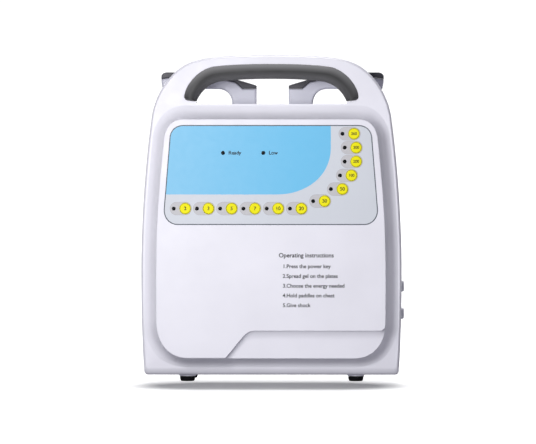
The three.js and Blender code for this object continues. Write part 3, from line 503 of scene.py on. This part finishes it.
def soft_rubber(name, colour, roughness, gloss):
    """Soft-touch rubber: leathery cells and worn, slightly glossier patches."""
    finish = Finish(name, roughness)
    finish.colour(finish.noise(35, 5), shade(colour, 0.88), shade(colour, 1.12))
    finish.roughness(finish.noise(45, 3), roughness - 0.08, roughness + 0.1)
    finish.bump(finish.cells(700), 0.03)
    finish.shader.inputs["Specular IOR Level"].default_value = gloss
    return finish.material


def bleached_rubber(name, below, front, above):
    """Soft-touch rubber with painted light: much paler where it faces up and a little paler where it faces
    down.
    """
    finish = Finish(name, 0.5)
    # Painted light: the colour follows which way the surface faces, palest facing up and darkest facing
    # front.
    painted_light = finish.ramp(finish.facing_up(), [(0.12, below), (0.5, front), (0.88, above)])
    finish.tree.links.new(painted_light, finish.shader.inputs["Base Color"])
    finish.roughness(finish.noise(45, 3), 0.45, 0.6)
    finish.bump(finish.cells(700), 0.03)
    finish.shader.inputs["Specular IOR Level"].default_value = 0.2
    return finish.material


def printed_film(name, colour):
    """Screen-printed polyester film: a fine matte stipple and an even colour."""
    finish = Finish(name)
    finish.colour(finish.noise(9, 2), shade(colour, 0.98), shade(colour, 1.02))
    finish.roughness(finish.noise(150, 2), 0.46, 0.55)
    finish.bump(finish.noise(500, 2), 0.002)
    finish.shader.inputs["Specular IOR Level"].default_value = 0.3
    return finish.material


def printed_ink(name, colour, spread=0.15):
    """Printed ink, slightly mottled."""
    finish = Finish(name, 0.45)
    finish.colour(finish.noise(400, 3), shade(colour, 1 - spread), shade(colour, 1 + spread))
    finish.bump(finish.noise(500, 2), 0.002)
    finish.shader.inputs["Specular IOR Level"].default_value = 0.2
    return finish.material


def blue_print(name, left, right):
    """Blue film, paler towards the left and deeper towards the right."""
    finish = Finish(name)
    split = finish.tree.nodes.new("ShaderNodeSeparateXYZ")
    finish.tree.links.new(finish.place, split.inputs["Vector"])
    drift = finish.tree.nodes.new("ShaderNodeMapRange")
    drift.inputs["From Min"].default_value = -0.12
    drift.inputs["From Max"].default_value = 0.03
    finish.tree.links.new(split.outputs["X"], drift.inputs["Value"])
    made = finish.ramp(drift.outputs["Result"], [(0.0, left), (1.0, right)])
    finish.tree.links.new(made, finish.shader.inputs["Base Color"])
    finish.roughness(finish.noise(150, 2), 0.46, 0.54)
    finish.bump(finish.noise(500, 2), 0.002)
    finish.shader.inputs["Specular IOR Level"].default_value = 0.3
    return finish.material


def smoked_lens(name):
    """Dark lens of an unlit lamp, dulled by fine scratches."""
    finish = Finish(name, 0.4)
    finish.colour(finish.noise(300, 2), srgb(3, 4, 6), srgb(9, 10, 14))
    finish.roughness(finish.noise(200, 2), 0.36, 0.48)
    finish.bump(finish.noise(900, 1), 0.003)
    finish.shader.inputs["Specular IOR Level"].default_value = 0.08
    return finish.material


def brushed_metal(name, colour):
    """Brushed metal: fine streaks along x, with finger-dulled patches."""
    finish = Finish(name, 0.3, metallic=1)
    streaks = finish.noise(60, 4, finish.stretched((1, 60, 60)))
    finish.colour(streaks, shade(colour, 0.85), shade(colour, 1.1))
    finish.roughness(finish.noise(30, 3), 0.22, 0.42)
    finish.bump(streaks, 0.008)
    return finish.material


def plated_steel(name, colour):
    """Zinc-plated steel: spangled crystals."""
    finish = Finish(name, 0.38, metallic=1)
    spangle = finish.cells(160)
    finish.colour(spangle, shade(colour, 0.8), shade(colour, 1.12))
    finish.roughness(spangle, 0.3, 0.48)
    finish.bump(finish.noise(500, 3), 0.01)
    return finish.material


def circuit_board(name):
    """Green solder mask over copper tracks."""
    finish = Finish(name, 0.35, coat=0.3)
    tracks = finish.cells(240, finish.stretched((1, 1, 0.35)))
    stops = [(0.25, srgb(10, 70, 38)), (0.32, srgb(26, 104, 60)), (0.5, srgb(8, 60, 32))]
    made = finish.ramp(tracks, stops)
    finish.tree.links.new(made, finish.shader.inputs["Base Color"])
    finish.roughness(finish.noise(120, 2), 0.28, 0.42)
    finish.bump(tracks, 0.02)
    return finish.material


def wound_tape(name, colour, turns):
    """Tape or wire wound round a piece, in fine bands along z."""
    finish = Finish(name, 0.5)
    wave = finish.tree.nodes.new("ShaderNodeTexWave")
    wave.bands_direction = "Z"
    wave.inputs["Scale"].default_value = turns
    wave.inputs["Distortion"].default_value = 1.5
    finish.tree.links.new(finish.place, wave.inputs["Vector"])
    finish.colour(wave.outputs["Fac"], shade(colour, 0.75), shade(colour, 1.15))
    finish.roughness(finish.noise(80, 2), 0.4, 0.6)
    finish.bump(wave.outputs["Fac"], 0.03)
    return finish.material


def floor_finish(name):
    """A pale floor that glows white, except in a soft patch in front of the case, where its own grey shows
    as a painted shadow; sizes in metres.
    """
    finish = Finish(name, 0.6)
    # Painted shadow: this grey shows only in the patch in front of the case, where the glow fades out.
    finish.colour(finish.noise(3, 3), srgb(158, 158, 158), srgb(164, 164, 164))
    finish.bump(finish.noise(300, 2), 0.01)
    # The patch where the glow fades is a painted shadow of the case.
    fade_across, fade_along, half_core, painted_shadow_y = 0.137, 0.2083, 0.0685, -0.2125
    place = finish.stretched((1 / fade_across, 1 / fade_along, 1), (0, -painted_shadow_y / fade_along, 0))
    place = finish.vector("ABSOLUTE", place, (0, 0, 0))
    place = finish.vector("SUBTRACT", place, (half_core / fade_across, 0, 0))
    place = finish.vector("MAXIMUM", place, (0, 0, 0))
    nearness = finish.tree.nodes.new("ShaderNodeTexGradient")
    nearness.gradient_type = "SPHERICAL"
    finish.tree.links.new(place, nearness.inputs["Vector"])
    glow = finish.tree.nodes.new("ShaderNodeMapRange")
    glow.inputs["From Max"].default_value = 0.55
    glow.inputs["To Min"].default_value = 0.95
    glow.inputs["To Max"].default_value = 0.0
    finish.tree.links.new(nearness.outputs["Fac"], glow.inputs["Value"])
    finish.shader.inputs["Emission Color"].default_value = (1, 1, 1, 1)
    finish.tree.links.new(glow.outputs["Result"], finish.shader.inputs["Emission Strength"])
    return finish.material


CASE = moulded_plastic("case_plastic", srgb(232, 231, 239))
PANEL_INK = printed_ink("panel_ink", srgb(22, 23, 28))
# The grip's three colours are painted light: paler facing down, dark facing front and palest facing up.
GRIP = bleached_rubber("grip_rubber", srgb(98, 98, 99), srgb(58, 58, 59), srgb(146, 146, 146))
OVERLAY = printed_film("overlay_film", srgb(211, 215, 222))
BLUE = blue_print("blue_film", srgb(133, 199, 234), srgb(111, 195, 236))
BORDER = printed_ink("border_ink", srgb(92, 98, 108))
PILL = printed_ink("pill_ink", srgb(197, 196, 199), 0.03)
PILL_EDGE = printed_ink("pill_edge_ink", srgb(176, 174, 178), 0.05)
# Painted shade: a dull yellow that stands in for the shade round each key's edge.
KEY_EDGE_SHADE = printed_ink("key_edge_painted_shade", srgb(190, 180, 60))
KEY = moulded_plastic("key_plastic", srgb(244, 236, 8), 0.5, 1200, 0.01, gloss=0.15)
KEY_INK = printed_ink("key_ink", srgb(70, 62, 8))
LENS = smoked_lens("lamp_lens")
PADDLE = moulded_plastic("paddle_plastic", srgb(190, 190, 202), 0.45)
CAP = moulded_plastic("paddle_cap_plastic", srgb(55, 54, 62), 0.5, 700, 0.03)
BUTTON = moulded_plastic("button_plastic", srgb(232, 96, 32), 0.35)
ELECTRODE = brushed_metal("electrode_steel", srgb(190, 192, 195))
FOOT = soft_rubber("foot_rubber", srgb(12, 12, 15), 0.8, 0.1)
SOCKET = moulded_plastic("socket_plastic", srgb(238, 238, 244), 0.5)
BLACK = moulded_plastic("black_plastic", srgb(32, 33, 36), 0.5, 800, 0.03, 0.1)
STEEL = plated_steel("zinc_steel", srgb(176, 180, 184))
BOARD = circuit_board("circuit_board")
BATTERY = moulded_plastic("battery_wrap", srgb(44, 62, 78), 0.35, 300, 0.03, 0.08)
CAPACITOR = moulded_plastic("capacitor_case", srgb(44, 74, 132), 0.3, 500, 0.01, 0.06)
WINDING = wound_tape("transformer_winding", srgb(188, 148, 70), 420)
LEAD = wound_tape("lead_insulation", srgb(214, 92, 36), 300)

# ------------------------------------------------------------------ case


def around_panel(distance):
    """The panel's outline moved out over the hollow flank, further above it and less far below."""
    made = []
    for p in offset(panel_outline, distance):
        above = max(0, p.y - PANEL_TOP) * (COVE_WIDTH_ABOVE / COVE_WIDTH - 1)
        below = min(0, p.y - PANEL_BOTTOM) * (COVE_WIDTH_BELOW / COVE_WIDTH - 1)
        made.append(Vector((p.x, p.y + above + below)))
    return made


def leaning_ring(outline, y):
    """A ring round the panel, which leans back below the panel."""
    return [(p.x, y + BASE_LEAN * max(0, PANEL_BOTTOM - p.y), p.y) for p in outline]


def front_skin(name):
    """The front of the case in one loft: raised panel, hollow flank, rim and soft outer edge."""
    edge = 1.2
    fall = RIM_Y - FACE_Y - PANEL_LIP
    rings = []
    for i in range(4):
        a = math.pi / 2 * i / 3
        outline = offset(panel_outline, -edge * (1 - math.sin(a)))
        rings.append(ring(outline, FACE_Y + edge * (1 - math.cos(a))))
    for i in range(17):
        t = (i / 16) ** 1.3
        fallen = COVE_LEAN * t + (1 - COVE_LEAN) * (1 - (1 - t) ** COVE_CURVE)
        rings.append(leaning_ring(around_panel(COVE_WIDTH * t), FACE_Y + PANEL_LIP + fall * fallen))
    for i in range(9):
        a = RIM_START + (math.pi / 2 - RIM_START) * i / 8
        out = (math.sin(a) - math.sin(RIM_START)) / (1 - math.sin(RIM_START))
        outline = [p.lerp(q, out) for p, q in zip(rim_outline, case_outline)]
        rings.append(leaning_ring(outline, RIM_Y + RIM_ROUND * (math.cos(RIM_START) - math.cos(a))))
    rings.append(ring(case_outline, SEAM_Y))
    return loft(name, rings)


def lamp_places():
    beside_keys = [(x - LAMP_OFFSET, z) for x, _, z in KEY_PLACES.values()]
    return beside_keys + INDICATORS


def discs(name, places, radius, y_front, y_back, count=32):
    """Several round plugs as one tool or piece."""
    outlines = [circle(place, radius, count) for place in places]
    return prism(name, outlines, y_front, y_back)


def key_and_lamp_holes(name, y_front, y_back):
    outlines = [circle((x, z), KEY_RADIUS + 0.3) for x, _, z in KEY_PLACES.values()]
    outlines += [circle(place, LAMP_RADIUS + 0.1, 20) for place in lamp_places()]
    return prism(name, outlines, y_front, y_back)


def step_tool():
    """What the step takes from the panel: its wall sweeps down and back, steep at first."""
    edge, steps = 1.6, 12
    rings = [ring(step_region, FACE_Y - 5)]
    for i in range(steps + 1):
        t = i / steps
        lowered = [p - Vector((0, STEP_SWEEP * t)) for p in step_region]
        rings.append(ring(lowered, FACE_Y + edge + (STEP_DEPTH - edge) * (1 - (1 - t) ** STEP_CURVE)))
    return loft("step_tool", rings)


def at_depth(y):
    """A test for edges that lie in one upright plane."""
    return lambda a, b: abs(a.y - y) < 0.02 and abs(b.y - y) < 0.02


def front_case():
    case = front_skin("front_case")
    combine(case, step_tool())
    round_edges(case, at_depth(FACE_Y), 1.2, flat=0.05)
    round_edges(case, at_depth(FACE_Y + STEP_DEPTH), 1.0, flat=0.05)
    combine(case, prism("window_tool", [arch_hole], RIM_Y - 5, SEAM_Y + 5))
    round_edges(case, at_depth(RIM_Y), 0.8, flat=0.05)
    combine(case, key_and_lamp_holes("hole_tool", FACE_Y - 5, FACE_Y + 9))
    return finished(case, CASE, "unit", ("front_shell",))


def grip():
    """The rubber grip: domed in front of the arch, and rounded into the hand opening below."""
    low, high = node_box("handle_grip")
    front, back = low[1], high[1]
    stands = RIM_Y - front
    end_round, half_count, total = 1.5, 20, len(grip_upper)
    fall_above, fall_below, back_round = stands * 0.9, stands * 2, 6
    along = [0]
    for i in range(1, total):
        along.append(along[-1] + (grip_upper[i] - grip_upper[i - 1]).length)
    rings = []
    for i, (upper, lower) in enumerate(zip(grip_upper, grip_lower)):
        reach = min(1, min(along[i], along[-1] - along[i]) / end_round)
        inset = end_round * (1 - math.sqrt(1 - (1 - reach) ** 2))
        half_height = (upper - lower).length / 2
        section = []
        for k in range(2 * half_count):
            a = math.pi * (k + 0.5) / half_count
            height = math.cos(a)
            if k < half_count:
                y = front + inset + (fall_above if height > 0 else fall_below) * abs(height) ** 2.6
            else:
                y = back - inset - back_round * abs(height) ** 3
            p = lower.lerp(upper, 0.5 + 0.492 * height * (1 - inset / half_height))
            section.append((p.x, y, p.y))
        rings.append(section)
    return finished(loft("rubber_grip", rings), GRIP, "unit", ("handle_grip",), 60)


# ------------------------------------------------------------------ keypad


def keypad_sheets():
    """The printed film over the keys: grey sheet, blue field and border line."""
    back = FACE_Y + 0.3
    holes = [circle((x, z), KEY_RADIUS + 0.25) for x, _, z in KEY_PLACES.values()]
    holes += [circle(place, LAMP_RADIUS, 20) for place in lamp_places()]
    sheet = prism("keypad_film", [overlay_outline] + holes, SHEET_Y, back, 0.1)
    finished(sheet, OVERLAY, "unit", ("keypad_overlay",))

    field = prism("blue_field", [offset(overlay_outline, -1.1)], SHEET_Y - 0.03, back)
    blue_edge = path(
        (-140, 225.7), ((7, 225.7),), ((42, 225.7), (72, 247), (72, 282)), ((72, 320),), ((-140, 320),)
    )
    combine(field, prism("blue_tool", [blue_edge[:-1]], SHEET_Y - 1, back + 1), "INTERSECT")
    combine(field, discs("lamp_tool", INDICATORS, LAMP_RADIUS, SHEET_Y - 1, back + 1, 20))
    finished(field, BLUE, "unit", ("blue_window",))

    border = prism(
        "film_border", [offset(overlay_outline, -0.1), offset(overlay_outline, -1.3)], SHEET_Y - 0.04, back
    )
    finished(border, BORDER)


def key_surrounds():
    """The grey pill printed round each key and lamp, and a dull yellow ring of painted shade at each key's
    edge.
    """
    front = SHEET_Y - 0.02
    for kind, grow, material in (("edge", 0.35, PILL_EDGE), ("field", 0, PILL)):
        for energy, (x, _, z) in KEY_PLACES.items():
            left, right = x - LAMP_OFFSET - PILL_PAST_LAMP - grow, x + PILL_RADIUS + grow
            holes = [circle((x, z), KEY_RADIUS + 0.25), circle((x - LAMP_OFFSET, z), LAMP_RADIUS, 20)]
            lift = 0.02 if kind == "field" else 0.0
            outlines = [pill(left, right, z, PILL_RADIUS + grow)] + holes
            finished(prism(f"pill_{kind}_{energy}", outlines, front - lift, SHEET_Y + 0.1), material)
    # Painted shade: a dull yellow ring round each key, where the key's edge would be shaded.
    for energy, (x, _, z) in KEY_PLACES.items():
        outlines = [circle((x, z), 7.15), circle((x, z), KEY_RADIUS + 0.2)]
        finished(prism(f"key_ring_{energy}", outlines, front - 0.05, SHEET_Y + 0.1), KEY_EDGE_SHADE)


def energy_key(energy):
    """A round push key with a softly domed, dished face and its energy printed on it."""
    name = f"key_{energy}"
    x, _, z = KEY_PLACES[energy]
    front = node_box(name)[0][1]
    profile = arc_profile(
        [
            (0, 7, 0),
            (3, 7, 0),
            (KEY_RADIUS, 5, 0),
            (KEY_RADIUS, 0, 1.1),
            (KEY_RADIUS * 0.6, 0.05, 0),
            (0, 0.12, 0),
        ]
    )
    piece = turned(f"{name}_cap", profile, (0, 1, 0), (x, front, z))
    finished(piece, KEY, name, (name,))
    number = lettering(f"{name}_number", str(energy), (x, z), front - 0.03, 5.9 if energy < 100 else 4.8)
    finished(number, KEY_INK, name)


def lettering(name, words, place, y_front, size, align="CENTER"):
    """Printed words or numbers, as a thin layer of ink that faces -y."""
    text = bpy.data.curves.new(name, "FONT")
    text.body = words
    text.size = size
    text.align_x = align
    text.align_y = "CENTER"
    text.extrude = 0.05
    text.offset = size * 0.022
    mesh = curve_mesh(text, 0)
    mesh.transform(Matrix.Translation((place[0], y_front + 0.05, place[1])))
    return placed(name, mesh)


def lamps():
    """Smoked lens over each lamp, domed, in the film's holes."""
    side = LAMP_RADIUS - 0.05
    profile = [(0, 3), (side, 3), (side, 0.1), (LAMP_RADIUS * 0.85, -0.02), (0, -0.06)]
    for i, (x, z) in enumerate(lamp_places()):
        finished(turned(f"lamp_{i + 1}", profile, (0, 1, 0), (x, SHEET_Y, z), 24), LENS)


OPERATING_STEPS = [
    "1.Press the power key",
    "2.Spread gel on the plates",
    "3.Choose the energy needed",
    "4.Hold paddles on chest",
    "5.Give shock",
]


def printed_marks():
    """Plain operating steps on the panel, and a word beside each indicator lamp."""
    front = FACE_Y - 0.03
    heading = lettering("steps_heading", "Operating instructions", (9.4, 152.5), front, 7.25, "LEFT")
    finished(heading, PANEL_INK)
    line_x, first_line_z, line_pitch = 14.2, 139.3, 11.7
    for i, words in enumerate(OPERATING_STEPS):
        place = (line_x, first_line_z - line_pitch * i)
        line = lettering(f"steps_line_{i + 1}", words, place, front, 6.35, "LEFT")
        finished(line, PANEL_INK)
    for words, (x, z) in zip(("Ready", "Low"), INDICATORS):
        label = lettering(f"label_{words}", words, (x + 6.5, z), SHEET_Y - 0.06, 6.2, "LEFT")
        finished(label, PANEL_INK)


# ------------------------------------------------------------------ paddles

# Where the dark cap of the right paddle sits on the handle, from its outer end inwards.
CAP_EDGE = [(134.6, 364.5), (124, 366), (62, 364), (45, 360.3), (36, 352.5), (19.7, 352.5)]


def paddle(side):
    """One paddle: handle with a finger gap, dark cap, thumb button, base and electrode plate."""
    flip = side == "left"
    body = f"paddle_{side}"
    low, high = node_box(f"{body}_handle")
    bottom = low[2]
    edge = [Vector(p) for p in CAP_EDGE]
    outer = path((19.7, bottom), ((122, bottom),), steps=1)
    outer += path(
        (122, bottom),
        ((122, 338), (126, 344), (132, 350)),
        ((133.4, 354), (134.6, 359), (134.6, 364.5)),
    )[1:]
    gap = path(
        (58, 326),
        ((104, 326),),
        ((110, 326), (112, 328), (112, 333)),
        ((112, 345), (113, 352.2), (104, 352.2)),
        ((66, 352.2),),
        ((56, 352.2), (48.8, 345), (48.8, 335)),
        ((48.8, 329), (52, 326), (58, 326)),
    )[:-1]
    handle = prism(f"{body}_handle_moulded", [outer + edge[1:], gap], low[1], high[1], 2.5, flip)
    finished(handle, PADDLE, body, (f"{body}_handle",), 50)

    lifted = [p + Vector((0, 0.1)) for p in reversed(edge)]
    upper = path(
        (134.6, 367.5),
        ((134.6, 370), (131.6, 372.4), (127.6, 372.4)),
        ((80, 372.4),),
        ((72, 372.4), (68, 371), (62, 369.2)),
        ((24, 357.9),),
        ((20.6, 356.9), (19.7, 356.5), (19.7, 355.5)),
    )
    cap_low, cap_high = node_box(f"{body}_cap")
    cap = prism(f"{body}_cap_moulded", [lifted + upper], cap_low[1], cap_high[1], 1.0, flip)
    finished(cap, CAP, body, (f"{body}_cap",), 50)

    refined(f"{body}_base", PADDLE, body, 1.2)
    refined(f"{body}_electrode", ELECTRODE, body, 0.4)
    refined(f"{body}_gland", CAP, body, 0.5)
    refined(f"{body}_button", BUTTON, f"{body}_button", 0.5)


# ------------------------------------------------------------------ fittings


def foot(name):
    """A turned rubber foot with a dished underside."""
    (x, y, _), (low, high) = node_centre(name), node_box(name)
    radius = (high[0] - low[0]) / 2
    profile = arc_profile(
        [
            (0, 0.5, 0),
            (4.5, 0.5, 0),
            (5, 0, 0),
            (radius - 1.2, 0, 2),
            (radius, 5.9, 0.5),
            (0, 5.9, 0),
        ]
    )
    finished(turned(f"{name}_rubber", profile, (0, 0, 1), (x, y, 0)), FOOT, "unit", (name,))


def socket(name):
    """A round collar for a paddle lead."""
    refined(name, SOCKET, "unit", 0.4)


def fittings():
    """Feet, sockets, screws and what sits in the back of the case."""
    for name in nodes:
        if name.startswith("foot_"):
            foot(name)
        elif name.startswith("paddle_socket_"):
            socket(name)
        elif name.startswith("housing_screw_"):
            refined(name, STEEL, width=0.2)
    refined("rear_shell", CASE, width=0.8)
    refined("battery_door", CASE, width=0.5)
    refined("mains_inlet", BLACK, width=0.3)
    refined("power_switch_body", BLACK, width=0.3)
    refined("power_switch_rocker", BLACK, "power_switch_rocker", 0.4)
    refined("ground_stud", STEEL, width=0.3)


def inner_pieces():
    """The pieces inside the case keep their CAD shape and get their own materials."""
    finishes = {
        "led_light_guide": LENS,
        "keypad_board": BOARD,
        "main_board": BOARD,
        "power_supply_board": BOARD,
        "chassis_plate": STEEL,
        "capacitor_clamp": STEEL,
        "hv_capacitor": CAPACITOR,
        "hv_transformer": WINDING,
        "patient_relay": BLACK,
        "speaker": BLACK,
        "battery_pack": BATTERY,
        "paddle_lead_upper": LEAD,
        "paddle_lead_lower": LEAD,
        "test_contact_left": ELECTRODE,
        "test_contact_right": ELECTRODE,
    }
    for name, material in finishes.items():
        data = nodes[name].data
        if not data.materials:
            data.materials.append(material)
        for i in range(len(data.materials)):
            data.materials[i] = material


# ------------------------------------------------------------------ stage


def floor():
    """A pale round floor that sweeps up into a wall on every side; in metres."""
    reach, bend, wall, count = 12.0, 1.5, 3.0, 72
    profile = [(0.001, 0), (1, 0), (reach, 0)]
    for i in range(1, 11):
        a = math.pi / 2 * i / 10
        profile.append((reach + bend * math.sin(a), bend * (1 - math.cos(a))))
    profile.append((reach + bend, wall))
    vertices, faces = [], []
    for radius, height in profile:
        for i in range(count):
            a = 2 * math.pi * i / count
            vertices.append((radius * math.cos(a), radius * math.sin(a), height - 0.0002))
    for row in range(len(profile) - 1):
        for i in range(count):
            here, after = row * count + i, row * count + (i + 1) % count
            faces.append((here, after, after + count, here + count))
    mesh = bpy.data.meshes.new("floor")
    mesh.from_pydata(vertices, [], faces)
    made = bpy.data.objects.new("floor", mesh)
    made.data.materials.append(floor_finish("floor_white"))
    made.data.shade_smooth()
    made.visible_diffuse = False
    made.visible_glossy = False
    made.visible_shadow = False
    bpy.context.scene.collection.objects.link(made)


def sun(name, azimuth, elevation, strength, softness):
    """A soft, even light from a direction: azimuth 0 is straight in front and negative is left."""
    light = bpy.data.lights.new(name, "SUN")
    light.energy = strength
    light.angle = math.radians(softness)
    made = bpy.data.objects.new(name, light)
    a, e = math.radians(azimuth), math.radians(elevation)
    direction = Vector((math.sin(a) * math.cos(e), -math.cos(a) * math.cos(e), math.sin(e)))
    made.rotation_mode = "QUATERNION"
    made.rotation_quaternion = direction.to_track_quat("Z", "Y")
    bpy.context.scene.collection.objects.link(made)


def softbox(name, place, aim, power, size):
    """A large round soft lamp, aimed at a point; both places in metres."""
    light = bpy.data.lights.new(name, "AREA")
    light.energy = power
    light.shape = "DISK"
    light.size = size
    made = bpy.data.objects.new(name, light)
    made.location = place
    made.rotation_mode = "QUATERNION"
    made.rotation_quaternion = (Vector(place) - Vector(aim)).to_track_quat("Z", "Y")
    bpy.context.scene.collection.objects.link(made)


def lights():
    """Soft light from the front left, weaker light from all round, and a faintly bluish room."""
    world = bpy.data.worlds.new("studio")
    world.use_nodes = True
    world.node_tree.nodes["Background"].inputs["Color"].default_value = (0.94, 0.93, 1.08, 1)
    world.node_tree.nodes["Background"].inputs["Strength"].default_value = 0.21
    bpy.context.scene.world = world
    softbox("key_light", (-0.31, -1.25, 0.42), (0, FACE_Y * MM, 0.18), 12.0, 0.45)
    sun("top_light", -10, 70, 0.2, 20)
    sun("right_light", 110, 10, 0.4, 30)
    sun("left_light", -125, 10, 0.45, 30)
    sun("bounce_light", 0, -80, 0.15, 30)
    sun("overhead_light", 180, 60, 1.6, 12)
    sun("back_light", 180, 5, 0.75, 30)


def camera():
    """Nearly level with the case and a little to its right, through a long lens; in metres."""
    scene = bpy.context.scene
    distance, azimuth, elevation = 10.0, math.radians(1.2), math.radians(0.93)
    width_seen = 0.6432
    target = Vector((-0.0034, FACE_Y * MM, 0.1927))
    lens = bpy.data.cameras.new("camera")
    lens.lens = lens.sensor_width * distance / width_seen
    made = bpy.data.objects.new("camera", lens)
    back = Vector(
        (
            math.sin(azimuth) * math.cos(elevation),
            -math.cos(azimuth) * math.cos(elevation),
            math.sin(elevation),
        )
    )
    made.location = target + back * distance
    made.rotation_mode = "QUATERNION"
    made.rotation_quaternion = back.to_track_quat("Z", "Y")
    scene.collection.objects.link(made)
    scene.camera = made
    scene.view_settings.view_transform = "Standard"


camera()
lights()
floor()
front_case()
grip()
keypad_sheets()
key_surrounds()
for energy in ENERGIES:
    energy_key(energy)
lamps()
printed_marks()
for side in ("left", "right"):
    paddle(side)
fittings()
inner_pieces()
